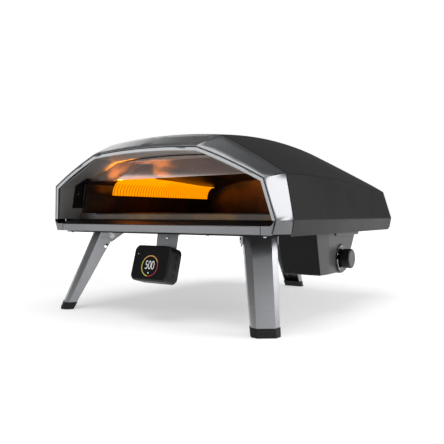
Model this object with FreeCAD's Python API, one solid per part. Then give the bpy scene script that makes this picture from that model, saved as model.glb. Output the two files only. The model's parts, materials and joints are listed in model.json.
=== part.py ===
import FreeCAD, Part
import math
import os
from FreeCAD import Vector as V

# Portable stone-baking pizza oven on three folding legs, fired by a gas burner along its left wall.
# The oven is drawn with x to the right, s backwards from the low front corners of the mouth, and z up
# from the ground.  At the end every piece is moved back by the same amount, so that the written
# parts have their origin on the ground under the middle of the oven.

# ---------------------------------------------------------------- driving dimensions (mm)
# Overall.  Widths of fitted pieces follow FOLD_HALF, depths follow SHELL_REAR and heights follow PAN_Z.
FOLD_HALF = 350.0          # half width at the fold line, the widest place
SHELL_REAR = 700.0         # back edge of the casing
PAN_Z = 203.0              # height of the underside above the ground

# Outer casing, seen from the front
FOLD_Z = PAN_Z + 34.0              # height of the fold line
BAND_HALF = FOLD_HALF - 5.5        # half width at the lower edge of the casing
BAND_Z = PAN_Z + 5.0               # height of the lower edge of the casing
SIDE_CREASE_HALF = FOLD_HALF - 18.0    # half width at the crease between side and shoulder
SIDE_CREASE_Z = PAN_Z + 133.0      # highest point of that crease
TOP_CREASE_HALF = FOLD_HALF - 180.0    # half width at the crease between shoulder and roof
TOP_CREASE_Z = PAN_Z + 235.5       # highest point of that crease
ROOF_CROWN = 10.0                  # rise of the roof between its two creases
SHOULDER_CROWN = 3.0               # bulge of the shoulder between its two creases
SHELL_WALL = 1.2
SHELL_BEND_R = 7.0                 # outside bend radius of the casing's creases

# Outer casing, seen from the side
COLLAR_REAR = 45.0         # back edge of the bright front collar
REVEAL = 2.5               # open joint between collar and casing
SIDE_PEAK_S = 200.0        # where the side crease is highest
SIDE_FRONT_DROP = 3.5      # fall of the side crease from its peak to the collar
SIDE_REAR_DROP = 19.5      # fall of the side crease from its peak to the back
SIDE_TUCK = 7.0            # inward run of the side crease towards the back
TOP_PEAK_S = 270.0
TOP_FRONT_DROP = 13.0
TOP_REAR_DROP = 40.5
PANEL_INSET = 6.0          # rear panel in from the casing's back edge

# Front collar and mouth
RIM_LEAN = 0.17            # forward lean of the rim per mm of height
RIM_LOW = (FOLD_HALF - 15.0, PAN_Z + 33.0)     # rim corners, half width and height
RIM_UP = (FOLD_HALF - 35.7, PAN_Z + 119.3)
RIM_TOP = (FOLD_HALF - 192.9, PAN_Z + 191.2)
RIM_CROWN = 7.0
RIM_WIDTH = 10.5
RIM_THICK = 4.0
RIM_GROOVE = 1.4           # open joint between rim and collar
COLLAR_WALL = 2.0
COLLAR_BEND_R = 2.0
COLLAR_FOOT_HALF = FOLD_HALF - 26.0    # half width of the collar where it meets the front rail
MOUTH_LOW = (FOLD_HALF - 38.0, RIM_LOW[1])     # back edge of the mouth lining
MOUTH_UP = (FOLD_HALF - 56.0, PAN_Z + 128.0)
MOUTH_TOP = (FOLD_HALF - 183.0, PAN_Z + 180.5)
MOUTH_REAR = 70.0
LINING_WALL = 1.5
BULKHEAD_GAP = 1.0         # from the mouth lining to the bulkhead behind it
BULKHEAD_CLEAR = 0.5       # from the bulkhead to the casing round it

# Front rail and porch
RAIL_Z0 = PAN_Z + 3.5
RAIL_Z1 = PAN_Z + 22.0
RAIL_FRONT = -4.0
RAIL_DEPTH = 13.0
RAIL_WALL = 2.5
RAIL_HALF = COLLAR_FOOT_HALF - 24.5
RAIL_SEAM = 1.0
PORCH_THICK = 2.0
PORCH_Z = RIM_LOW[1] - 0.3     # top of the porch where it runs level into the chamber
PORCH_TIP_INSET = 7.0          # porch in from the collar's foot, between the rail corners
PORCH_LEDGE_INSET = 9.0        # porch in from the rim's corner, under the mouth lining

# Base pan
PAN_WALL = 1.2
PAN_HEIGHT = 30.0
PAN_CLEAR = 1.0            # from the pan to the casing round it

# Cooking chamber
LINER_LOW_HALF = FOLD_HALF - 28.0
LINER_LOW_Z = PAN_Z + 19.0
LINER_UP_HALF = FOLD_HALF - 50.0
LINER_UP_Z = PAN_Z + 129.0
LINER_TOP_HALF = FOLD_HALF - 183.0
LINER_TOP_Z = PAN_Z + 182.0
LINER_CROWN = 6.0
LINER_WALL = 1.0
LINER_SEAM = 6.0           # joint of walls and roof, below the upper bend
LINER_FRONT = 75.0
LINER_REAR = SHELL_REAR - 45.0
LINER_REAR_DROP = 22.0     # fall of the chamber roof towards the back
INSULATION_GAP = 1.0
INSULATION_THICK = 25.0
STONE_THICK = 15.0
STONE_LEFT = 32.0 - LINER_LOW_HALF
STONE_RIGHT = LINER_LOW_HALF - 26.0
STONE_FRONT = LINER_FRONT
STONE_REAR = LINER_REAR - 21.0
STONE_JOINT = 1.5
STONE_SEAT_Z = LINER_LOW_Z + 15.0
STONE_TOP_Z = STONE_SEAT_Z + STONE_THICK
STONE_EDGE_R = 1.5
STOP_DEPTH = 17.0          # bar in front of the stones
STOP_EDGE_R = 4.0
TOE_WIDTH = 49.0           # plate that closes the burner's lane beside the bar
TOE_THICK = 2.0
SEAT_WIDTH = 14.0
SEAT_WALL = 1.2

# Burner, its guards and the gas line
BURNER_X = 18.0 - LINER_LOW_HALF
BURNER_Z = LINER_LOW_Z + 40.0
BURNER_R = 8.0
BURNER_BORE = 6.8
BURNER_FRONT = LINER_FRONT + 21.0
BURNER_REAR = LINER_REAR - 35.0
PORT_PITCH = 12.0
PORT_R = 1.6
STAND_INSET = 60.0         # burner stands in from the ends of the tube
STAND_LENGTH = 16.0
GUARD_FOOT_X = BURNER_X
GUARD_HEAD_X = GUARD_FOOT_X + 28.0
GUARD_Z0 = LINER_LOW_Z + 16.0
GUARD_Z1 = LINER_LOW_Z + 79.0
GUARD_HORN = 4.0           # rise of the guard at its front end
GUARD_DIP = 5.0            # dip of the guard behind that rise
GUARD_THICK = 1.5
GUARD_FRONT = LINER_FRONT - 13.0
GUARD_REAR = LINER_REAR - 18.0
BACK_GUARD_S = GUARD_REAR + 3.0
BACK_GUARD_Z = LINER_LOW_Z + 93.0
ELECTRODE_X = BURNER_X - 5.0
ELECTRODE_S = BURNER_FRONT - 10.0
PIPE_R = 4.0
PIPE_BEND = 14.0
PIPE_HOLE_R = 7.0
PIPE_BACK_S = LINER_REAR - 10.0
PROBE_R = 2.5
PROBE_REACH = 45.0         # length of the probe inside the chamber

# Visor
VISOR_Z = PAN_Z + 134.5
VISOR_THICK = 4.0
VISOR_S = 61.0
VISOR_GAP = 0.8
VISOR_BRACKET_THICK = 2.0
VISOR_BRACKET_DROP = 72.0

# Folding legs.  k is the distance inwards from the middle of the foot, along the leg's own plane.
FOOT_HALF_X = FOLD_HALF - 48.0     # half width between the two front feet
FOOT_FRONT_S = 14.5
FOOT_REAR_S = SHELL_REAR + 51.0
LEG_HEADING = 37.5                 # degrees that a front leg points out from straight ahead
LEG_TOP_Z = PAN_Z - 1.5
PIVOT_K = 112.0
PIVOT_Z = PAN_Z - 12.0
LEG_OUT_K = (-17.0, 70.0)          # outer face, at the ground and at the top
LEG_CHAMFER_K = (-5.0, 83.0)       # where the chamfer meets the side
LEG_IN_K = (11.0, 122.5)           # open inner edge
LEG_FACE_HALF = (19.0, 22.0)
LEG_HALF = (29.0, 37.5)
LEG_WALL = 3.0
EAR_R = 10.5
SOLE = 3.0
SHOE_HEIGHT = 18.0
SHOE_WALL = 1.4
SHOE_CLEAR = 0.1
CHEEK_GAP = 0.6
CHEEK_THICK = 2.5
CHEEK_END_K = 149.0
PIVOT_R = 4.0
PIVOT_CLEAR = 0.05
LOCK_R = 3.0
LOCK_CLEAR = 0.15
LOCK_Z = PIVOT_Z - 23.0
LOCK_EDGE = 6.0                    # lock bar in from the leg's inner edge
LOCK_K = LEG_IN_K[0] + (LEG_IN_K[1] - LEG_IN_K[0]) * LOCK_Z / LEG_TOP_Z - LOCK_EDGE
LOCK_TRAVEL = 5.0

# Gas control housing under the right rear
HOUSE_RIGHT = FOLD_HALF - 28.0
HOUSE_LEFT = HOUSE_RIGHT - 117.0
HOUSE_FRONT = 240.0
HOUSE_REAR = HOUSE_FRONT + 228.0
HOUSE_BOTTOM = PAN_Z - 103.0
HOUSE_WALL = 2.5
HOUSE_EDGE_R = 7.0
HOUSE_SPLIT = (HOUSE_RIGHT - 11.0, HOUSE_RIGHT - 9.0)    # joint of housing and cover, top and bottom
HOUSE_JOINT = 0.5
FLANGE_REAR = HOUSE_REAR + 32.0
FLANGE_THICK = 9.0
KNOB_S = HOUSE_FRONT + 131.0
KNOB_Z = PAN_Z - 66.5
DIAL_R = 36.5
DIAL_X = HOUSE_RIGHT
DIAL_THICK = 2.5
BOSS_MARGIN = 2.0          # boss of the cover beyond the dial
KNOB_R = 24.5
KNOB_LENGTH = 21.0
KNOB_TRAVEL = 3.0
KNOB_GAP = 1.5             # gap left behind a fully pressed knob
KNOB_FLUTES = 18
FLUTE_R = 2.0
STEM_R = 3.5
STEM_CLEAR = 0.05
STEM_FLAT = 1.0
STEM_HOLE = 2.0            # room round the stem where it passes the cover and the dial
INLET_R = 7.9
INLET_LENGTH = 24.0
INLET_OUT = 2.0            # end of the inlet beyond the housing's back
GAS_X = HOUSE_RIGHT - 72.0     # gas line of the valve, its inlet and its riser

# Thermometer hub on its bracket under the front rail
HUB_WIDTH = 112.0
HUB_HEIGHT = 84.0
HUB_DEPTH = 46.0
HUB_CORNER = 15.0
HUB_SPLIT = 15.0           # depth of the front shell
HUB_SEAM = 0.8
HUB_TILT = 16.0            # degrees that the face looks up
HUB_X = 6.0                # hub to the right of the middle
HUB_S = 18.0
HUB_Z = PAN_Z - 73.0
HUB_FACE_INSET = 5.0
HUB_FACE_THICK = 2.0
HUB_WALL = 2.0
BUTTON_OUT = 1.2
BUTTON_CLEAR = 0.15
BUTTON_V = 26.0
STRAP_THICK = 2.5
STRAP_TOP_HALF = 32.0
STRAP_LOW_HALF = 28.0

# Fasteners
SCREW_R = 3.0
SCREW_HEAD = 2.5
SCREW_SHANK_R = 2.0
SCREW_CLEAR = 0.1

nodes = {}
heads = []                 # screw heads outside the casing, all one node


# ---------------------------------------------------------------- shape helpers
def box(x0, x1, s0, s1, z0, z1):
    return Part.makeBox(x1 - x0, s1 - s0, z1 - z0, V(x0, s0, z0))


def polygon(points):
    return Part.makePolygon([V(*p) for p in points] + [V(*points[0])])


def front_plate(points, s0, s1):
    """A plate from an (x, z) outline, between two depths."""
    face = Part.Face(polygon([(x, s0, z) for x, z in points]))
    return face.extrude(V(0, s1 - s0, 0))


def plan_plate(points, z0, z1):
    """A plate from an (x, s) outline, between two heights."""
    face = Part.Face(polygon([(x, s, z0) for x, s in points]))
    return face.extrude(V(0, 0, z1 - z0))


def side_plate(points, x0, x1):
    """A plate from an (s, z) outline, between two widths."""
    face = Part.Face(polygon([(x0, s, z) for s, z in points]))
    return face.extrude(V(x1 - x0, 0, 0))


def rod(start, axis, radius, length):
    return Part.makeCylinder(radius, length, V(*start), V(*axis))


def lerp(a, b, t):
    return a + (b - a) * t


def inset(half, d, low_z=None):
    """Move a half outline inwards by d.  It runs from the low edge to the roof crease, as (x, z)."""
    lines = list(zip(half[:-1], half[1:])) + [(half[-1], (0.0, half[-1][1]))]
    moved = []
    for (x0, z0), (x1, z1) in lines:
        length = math.hypot(x1 - x0, z1 - z0)
        nx, nz = -(z1 - z0) / length, (x1 - x0) / length
        moved.append(((x0 + nx * d, z0 + nz * d), (x1 + nx * d, z1 + nz * d)))
    first_low = half[0][1] if low_z is None else low_z
    (x0, z0), (x1, z1) = moved[0]
    points = [(x0 + (x1 - x0) * (first_low - z0) / (z1 - z0), first_low)]
    for (a, b), (c, e) in zip(moved[:-1], moved[1:]):
        det = (b[0] - a[0]) * (e[1] - c[1]) - (b[1] - a[1]) * (e[0] - c[0])
        t = ((c[0] - a[0]) * (e[1] - c[1]) - (c[1] - a[1]) * (e[0] - c[0])) / det
        points.append((a[0] + (b[0] - a[0]) * t, a[1] + (b[1] - a[1]) * t))
    return points


def unit(x, z):
    length = math.hypot(x, z)
    return x / length, z / length


def hoop(half, bulges, place, bend=0.0):
    """Closed wire of a mirrored half outline.  bulges has one rise per side edge, then the roof's, and
    bend is the radius of every crease above the low edge."""
    points = [(-x, z) for x, z in half] + list(reversed(half))
    rises = list(bulges) + list(reversed(bulges[:-1])) + [0.0]
    count = len(points)
    sides = []
    for i, rise in enumerate(rises):
        (x0, z0), (x1, z1) = points[i], points[(i + 1) % count]
        length = math.hypot(x1 - x0, z1 - z0)
        along = ((x1 - x0) / length, (z1 - z0) / length)
        slope = 4 * rise / length
        leave = unit(along[0] - along[1] * slope, along[1] + along[0] * slope)
        arrive = unit(along[0] + along[1] * slope, along[1] - along[0] * slope)
        mid = ((x0 + x1) / 2 - along[1] * rise, (z0 + z1) / 2 + along[0] * rise)
        sides.append((leave, arrive, mid, rise))
    starts, ends, creases = list(points), [points[(i + 1) % count] for i in range(count)], [None] * count
    if bend:
        for i in range(1, count - 1):
            before, after = sides[i - 1][1], sides[i][0]
            turn = math.acos(min(1.0, before[0] * after[0] + before[1] * after[1]))
            reach = bend * math.tan(turn / 2)
            x, z = points[i]
            ends[i - 1] = (x - before[0] * reach, z - before[1] * reach)
            starts[i] = (x + after[0] * reach, z + after[1] * reach)
            inward = unit(after[0] - before[0], after[1] - before[1])
            rise = bend / math.cos(turn / 2) - bend
            creases[i] = (x + inward[0] * rise, z + inward[1] * rise)
    edges = []
    for i, (leave, arrive, mid, rise) in enumerate(sides):
        if creases[i]:
            edges.append(Part.Arc(place(*ends[i - 1]), place(*creases[i]), place(*starts[i])).toShape())
        if rise:
            edges.append(Part.Arc(place(*starts[i]), place(*mid), place(*ends[i])).toShape())
        else:
            edges.append(Part.LineSegment(place(*starts[i]), place(*ends[i])).toShape())
    return Part.Wire(edges)


def bent_tube(points, radius, bend):
    """A round tube along straight runs joined by tangent arcs."""
    pts = [V(*p) for p in points]
    edges = []
    at = pts[0]
    for before, corner, after in zip(pts[:-2], pts[1:-1], pts[2:]):
        a = (before - corner).normalize()
        b = (after - corner).normalize()
        half_turn = (math.pi - a.getAngle(b)) / 2
        reach = bend * math.tan(half_turn)
        start, end = corner + a * reach, corner + b * reach
        bisector = (a + b).normalize()
        middle = corner + bisector * (bend / math.cos(half_turn) - bend)
        edges.append(Part.LineSegment(at, start).toShape())
        edges.append(Part.Arc(start, middle, end).toShape())
        at = end
    edges.append(Part.LineSegment(at, pts[-1]).toShape())
    ring = Part.Wire(Part.makeCircle(radius, pts[0], pts[1] - pts[0]))
    return Part.Wire(edges).makePipeShell([ring], True, True)


# ---------------------------------------------------------------- casing outline
def fall(s, peak_s, front_drop, rear_drop):
    """Drop of a crease below its peak: a parabola to the collar and another to the back."""
    if s < peak_s:
        return front_drop * ((peak_s - s) / (peak_s - COLLAR_REAR)) ** 2
    return rear_drop * ((s - peak_s) / (SHELL_REAR - peak_s)) ** 2


def casing_half(s, d=0.0, low_z=None):
    back = max(0.0, (s - COLLAR_REAR) / (SHELL_REAR - COLLAR_REAR))
    half = [(BAND_HALF, BAND_Z), (FOLD_HALF, FOLD_Z),
            (SIDE_CREASE_HALF - SIDE_TUCK * back ** 2,
             SIDE_CREASE_Z - fall(s, SIDE_PEAK_S, SIDE_FRONT_DROP, SIDE_REAR_DROP)),
            (TOP_CREASE_HALF, TOP_CREASE_Z - fall(s, TOP_PEAK_S, TOP_FRONT_DROP, TOP_REAR_DROP))]
    return inset(half, d, low_z)


def casing_solid(s0, s1, d=0.0, low_z=None):
    """The volume inside the casing's outline, moved inwards by d."""
    wires = []
    steps = 8
    for i in range(steps + 1):
        s = lerp(s0, s1, i / steps)
        wires.append(hoop(casing_half(s, d, low_z), [0, 0, SHOULDER_CROWN, ROOF_CROWN],
                          lambda x, z, s=s: V(x, s, z), SHELL_BEND_R - d))
    return Part.makeLoft(wires, True, False)


def lean(z):
    return -RIM_LEAN * (z - RIM_LOW[1])


def front_outline(t, d=0.0, low_z=None):
    """Collar outline: t is 0 in the plane of the leaning rim and 1 at the collar's back edge."""
    front = inset([(COLLAR_FOOT_HALF, BAND_Z), RIM_LOW, RIM_UP, RIM_TOP], d, low_z)
    rear = casing_half(COLLAR_REAR, d, low_z)
    half = [(lerp(f[0], r[0], t), lerp(f[1], r[1], t)) for f, r in zip(front, rear)]
    depths = [lerp(lean(f[1]), COLLAR_REAR, t) for f in front]
    crown = lerp(RIM_CROWN, ROOF_CROWN, t)

    def place(x, z):
        """Depth goes evenly with height, which keeps each outline flat."""
        share = (z - half[0][1]) / (half[-1][1] - half[0][1])
        return V(x, lerp(depths[0], depths[-1], share), z)

    return hoop(half, [0, 0, SHOULDER_CROWN, crown], place, max(COLLAR_BEND_R - d, 0.0))


def lining_solid(d=0.0, low_z=None, t0=-0.1, t1=1.1):
    """The space inside the mouth lining, a funnel from the rim back to the chamber."""
    front = inset([RIM_LOW, RIM_UP, RIM_TOP], RIM_WIDTH + d, low_z)
    rear = inset([MOUTH_LOW, MOUTH_UP, MOUTH_TOP], d, low_z)
    wires = []
    for t in (t0, t1):
        half = [(lerp(f[0], r[0], t), lerp(f[1], r[1], t)) for f, r in zip(front, rear)]

        def place(x, z, t=t):
            return V(x, lerp(lean(z), MOUTH_REAR, t), z)

        wires.append(hoop(half, [0, 0, RIM_CROWN], place))
    return Part.makeLoft(wires, True, True)


def liner_solid(s0, s1, d=0.0):
    """The volume of the cooking chamber, moved inwards by d from the liner's outside."""
    wires = []
    steps = 5
    for i in range(steps + 1):
        s = lerp(s0, s1, i / steps)
        drop = LINER_REAR_DROP * max(0.0, (s - TOP_PEAK_S) / (LINER_REAR - TOP_PEAK_S)) ** 2
        half = inset([(LINER_LOW_HALF, LINER_LOW_Z), (LINER_UP_HALF, LINER_UP_Z),
                      (LINER_TOP_HALF, LINER_TOP_Z - drop)], d)
        wires.append(hoop(half, [0, 0, LINER_CROWN], lambda x, z, s=s: V(x, s, z)))
    return Part.makeLoft(wires, True, False)


# ---------------------------------------------------------------- casing, collar and mouth
def make_casing():
    shell_front = COLLAR_REAR + REVEAL
    outer = casing_solid(shell_front, SHELL_REAR)
    space = casing_solid(shell_front - 10, SHELL_REAR + 10, SHELL_WALL, BAND_Z - 10)
    nodes["outer_shell"] = outer.cut(space)
    panel_front = SHELL_REAR - PANEL_INSET
    nodes["rear_panel"] = space.common(box(-FOLD_HALF, FOLD_HALF, panel_front, panel_front + SHELL_WALL,
                                           PAN_Z + PAN_WALL, TOP_CREASE_Z + ROOF_CROWN))


def make_collar():
    outer = Part.makeLoft([front_outline(0), front_outline(1)], True, True)
    hollow = Part.makeLoft([front_outline(-0.3, COLLAR_WALL, BAND_Z - 10),
                            front_outline(1.3, COLLAR_WALL, BAND_Z - 10)], True, True)
    nodes["front_collar"] = outer.cut(hollow)


def make_rim():
    """A leaning U-shaped trim, set into the collar with an open joint all round."""
    def prism(d, low_z, s0, s1):
        half = inset([RIM_LOW, RIM_UP, RIM_TOP], d, low_z)
        wire = hoop(half, [0, SHOULDER_CROWN, RIM_CROWN], lambda x, z: V(x, lean(z) + s0, z))
        return Part.Face(wire).extrude(V(0, s1 - s0, 0))
    outer = prism(COLLAR_WALL + RIM_GROOVE, RIM_LOW[1], 0, RIM_THICK)
    opening = prism(RIM_WIDTH, RIM_LOW[1] - 20, -20, 20)
    nodes["front_rim"] = outer.cut(opening)


def make_lining():
    outer = lining_solid(-LINING_WALL, RIM_LOW[1], 0.07, 1.0)
    nodes["mouth_lining"] = outer.cut(lining_solid(0, RIM_LOW[1] - 10))
    seat = MOUTH_REAR + BULKHEAD_GAP
    ring = casing_solid(seat, seat + 40, SHELL_WALL + BULKHEAD_CLEAR, RIM_LOW[1])
    ring = ring.common(box(-FOLD_HALF, FOLD_HALF, seat, seat + SHELL_WALL, RIM_LOW[1], TOP_CREASE_Z + 20))
    mouth = front_plate([(-MOUTH_LOW[0], RIM_LOW[1] - 10), (-MOUTH_LOW[0], MOUTH_LOW[1]),
                         (-MOUTH_UP[0], MOUTH_UP[1]), (-MOUTH_TOP[0], MOUTH_TOP[1]),
                         (MOUTH_TOP[0], MOUTH_TOP[1]), (MOUTH_UP[0], MOUTH_UP[1]),
                         (MOUTH_LOW[0], MOUTH_LOW[1]), (MOUTH_LOW[0], RIM_LOW[1] - 10)],
                        seat - 5, seat + 10)
    nodes["front_bulkhead"] = ring.cut(mouth)


def make_rail():
    def section(x0, x1):
        outer = box(x0, x1, RAIL_FRONT, RAIL_FRONT + RAIL_DEPTH, RAIL_Z0, RAIL_Z1)
        core = box(x0 - 1, x1 + 1, RAIL_FRONT + RAIL_WALL, RAIL_FRONT + RAIL_DEPTH + 1,
                   RAIL_Z0 + RAIL_WALL, RAIL_Z1 - RAIL_WALL)
        edges = [e for e in outer.Edges
                 if abs(e.CenterOfMass.y - RAIL_FRONT) < 0.01 and abs(e.Vertexes[0].X - e.Vertexes[-1].X) > 1]
        return outer.makeFillet(RAIL_WALL * 0.7, edges).cut(core)
    nodes["front_rail"] = section(-RAIL_HALF, RAIL_HALF)
    inner = RAIL_HALF + RAIL_SEAM
    rise = RIM_LOW[1] - RAIL_Z1
    corners = []
    for side in (-1, 1):
        foot = COLLAR_FOOT_HALF - COLLAR_WALL - 0.4
        head = RIM_LOW[0] - COLLAR_WALL - 1.0
        low = V(side * inner, RAIL_FRONT, RAIL_Z0)
        toe = V(side * foot, RAIL_FRONT, RAIL_Z0)
        tip = V(side * head, RAIL_FRONT, RIM_LOW[1] - 0.3)
        arc_to = V(side * (head - 1.5), RAIL_FRONT, tip.z)
        arc_from = V(side * (foot - 3), RAIL_FRONT, RAIL_Z1)
        middle = (arc_from + arc_to) * 0.5 + V(side * rise * 0.18, 0, -rise * 0.18)
        high = V(side * inner, RAIL_FRONT, RAIL_Z1)
        sides = [Part.LineSegment(low, toe), Part.LineSegment(toe, tip), Part.LineSegment(tip, arc_to),
                 Part.Arc(arc_to, middle, arc_from), Part.LineSegment(arc_from, high),
                 Part.LineSegment(high, low)]
        outline = Part.Wire([piece.toShape() for piece in sides])
        corners.append(Part.Face(outline).extrude(V(0, RAIL_DEPTH, 0)))
    nodes["rail_corners"] = Part.makeCompound(corners)
    porch_rear = LINER_FRONT - 1
    knee = COLLAR_REAR + REVEAL - 0.5
    porch_front = RAIL_FRONT + 1.5
    profile = [(porch_front, RAIL_Z1 + 0.1), (knee, PORCH_Z), (porch_rear, PORCH_Z),
               (porch_rear, PORCH_Z - PORCH_THICK), (knee, PORCH_Z - PORCH_THICK),
               (RAIL_FRONT + RAIL_DEPTH, RAIL_Z1 + 0.1)]
    ledge_s = RAIL_FRONT + RAIL_DEPTH + 0.3
    tip_half = COLLAR_FOOT_HALF - PORCH_TIP_INSET
    half_plan = [(tip_half, porch_front), (tip_half, ledge_s),
                 (RIM_LOW[0] - PORCH_LEDGE_INSET, ledge_s), (MOUTH_LOW[0] - 1.0, porch_rear)]
    plan = half_plan + [(-x, s) for x, s in reversed(half_plan)]
    porch = side_plate(profile, -FOLD_HALF, FOLD_HALF)
    nodes["porch_plate"] = porch.common(plan_plate(plan, PAN_Z, PORCH_Z + 5))


def make_pan():
    """A tray under the chamber, tucked inside the casing, with holes for the gas pipe."""
    top = PAN_Z + PAN_HEIGHT
    slope = (FOLD_HALF - BAND_HALF) / (FOLD_Z - BAND_Z)
    half_low = BAND_HALF - (BAND_Z - PAN_Z) * slope - SHELL_WALL - PAN_CLEAR
    half_top = half_low + PAN_HEIGHT * slope
    front, rear = COLLAR_REAR + REVEAL, SHELL_REAR - PANEL_INSET - PAN_CLEAR

    def trapezium(d, z0, z1):
        return [(-half_low + d, z0), (-half_top + d, z1), (half_top - d, z1), (half_low - d, z0)]
    outer = front_plate(trapezium(0, PAN_Z, top), front, rear)
    inner = front_plate(trapezium(PAN_WALL, PAN_Z + PAN_WALL, top + 1), front + PAN_WALL, rear - PAN_WALL)
    apron = box(-RAIL_HALF, RAIL_HALF, RAIL_FRONT + RAIL_DEPTH + 0.2, front, PAN_Z, PAN_Z + PAN_WALL)
    pan = outer.cut(inner).fuse(apron)
    hole = rod((GAS_X, KNOB_S + 1, PAN_Z - 5), (0, 0, 1), PIPE_HOLE_R, 20)
    nodes["base_pan"] = pan.cut(hole)


# ---------------------------------------------------------------- chamber and insulation
def make_chamber():
    hollow = liner_solid(LINER_FRONT - 20, LINER_REAR + 20, LINER_WALL)
    shell = liner_solid(LINER_FRONT, LINER_REAR).cut(hollow)
    wide, high = FOLD_HALF, TOP_CREASE_Z
    split = LINER_UP_Z - LINER_SEAM
    nodes["chamber_roof"] = shell.common(box(-wide, wide, 0, SHELL_REAR, split + 0.2, high))
    for side, x0, x1 in (("left", -wide, 0), ("right", 0, wide)):
        half_space = box(x0, x1, 0, SHELL_REAR, LINER_LOW_Z + LINER_WALL, split)
        nodes["chamber_wall_" + side] = shell.common(half_space)
    back = liner_solid(LINER_FRONT, LINER_REAR, LINER_WALL + 0.3)
    back = back.common(box(-wide, wide, LINER_REAR - LINER_WALL, LINER_REAR, LINER_LOW_Z + LINER_WALL, high))
    probe_hole = rod((0, LINER_REAR - 10, VISOR_Z), (0, 1, 0), PROBE_R + 0.3, 20)
    nodes["chamber_back"] = back.cut(probe_hole)
    floor = box(-LINER_LOW_HALF, LINER_LOW_HALF, LINER_FRONT, LINER_REAR,
                LINER_LOW_Z - LINER_WALL, LINER_LOW_Z)
    pipe_hole = rod((BURNER_X, PIPE_BACK_S, LINER_LOW_Z - 5), (0, 0, 1), PIPE_HOLE_R, 10)
    nodes["chamber_floor"] = floor.cut(pipe_hole)


def make_insulation():
    """Blankets of even thickness wrapped round the chamber, and one between its floor and the pan."""
    wide, high = FOLD_HALF, TOP_CREASE_Z + ROOF_CROWN
    front, rear = LINER_FRONT + 2, LINER_REAR + INSULATION_GAP
    space = casing_solid(front - 10, SHELL_REAR, SHELL_WALL + INSULATION_GAP, LINER_LOW_Z)
    hollow = liner_solid(LINER_FRONT - 20, LINER_REAR + 20, -INSULATION_GAP)
    outside = liner_solid(LINER_FRONT - 20, LINER_REAR + 20, -INSULATION_GAP - INSULATION_THICK)
    wrap = space.common(outside).cut(hollow)
    seam = LINER_UP_Z
    nodes["insulation_roof"] = wrap.common(box(-wide, wide, front, rear, seam + 0.5, high))
    low = PAN_Z + PAN_HEIGHT + INSULATION_GAP
    left = wrap.common(box(-wide, 0, front, rear, low, seam))
    right = wrap.common(box(0, wide, front, rear, low, seam))
    back = space.common(box(-wide, wide, rear + 0.5, rear + 0.5 + INSULATION_THICK, low, high))
    back = back.cut(rod((0, rear - 5, VISOR_Z), (0, 1, 0), PROBE_R + 0.3, 60))
    pipe_lane = GAS_X - PIPE_HOLE_R - 3
    base = box(-LINER_LOW_HALF, pipe_lane, LINER_FRONT, PIPE_BACK_S - 12,
               PAN_Z + PAN_WALL + 0.5, LINER_LOW_Z - LINER_WALL - 0.5)
    nodes["insulation_blankets"] = Part.makeCompound([left, right, back, base])


def make_stones():
    width = (STONE_RIGHT - STONE_LEFT - STONE_JOINT) / 2
    length = (STONE_REAR - STONE_FRONT - STONE_JOINT) / 2
    tiles = []
    for i in range(2):
        for j in range(2):
            x0 = STONE_LEFT + i * (width + STONE_JOINT)
            s0 = STONE_FRONT + j * (length + STONE_JOINT)
            tile = box(x0, x0 + width, s0, s0 + length, STONE_SEAT_Z, STONE_SEAT_Z + STONE_THICK)
            tiles.append(tile.makeChamfer(STONE_EDGE_R, tile.Edges))
    nodes["baking_stones"] = Part.makeCompound(tiles)
    middle = STONE_LEFT + width + STONE_JOINT / 2
    seats = []
    for x in (STONE_LEFT + SEAT_WIDTH, middle, STONE_RIGHT - SEAT_WIDTH):
        left, right = x - SEAT_WIDTH / 2, x + SEAT_WIDTH / 2
        bar = box(left, right, STONE_FRONT, STONE_REAR, LINER_LOW_Z, STONE_SEAT_Z)
        seats.append(bar.cut(box(left + SEAT_WALL, right - SEAT_WALL, STONE_FRONT - 1, STONE_REAR + 1,
                                 LINER_LOW_Z - 1, STONE_SEAT_Z - SEAT_WALL)))
    nodes["stone_supports"] = Part.makeCompound(seats)
    stop_back = STONE_FRONT - 1
    stop_front = stop_back - STOP_DEPTH
    bar = box(STONE_LEFT + TOE_WIDTH + 1, STONE_RIGHT - 3, stop_front, stop_back, PORCH_Z, STONE_TOP_Z)
    front_top = [e for e in bar.Edges if abs(e.CenterOfMass.y - stop_front) < 0.01
                 and abs(e.CenterOfMass.z - STONE_TOP_Z) < 0.01]
    nodes["stone_stop"] = bar.makeFillet(STOP_EDGE_R, front_top)
    toe_front = stop_front + 2
    nodes["burner_toe_plate"] = box(GUARD_FOOT_X, STONE_LEFT + TOE_WIDTH, toe_front, toe_front + TOE_THICK,
                                    PORCH_Z, STONE_TOP_Z)


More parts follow.
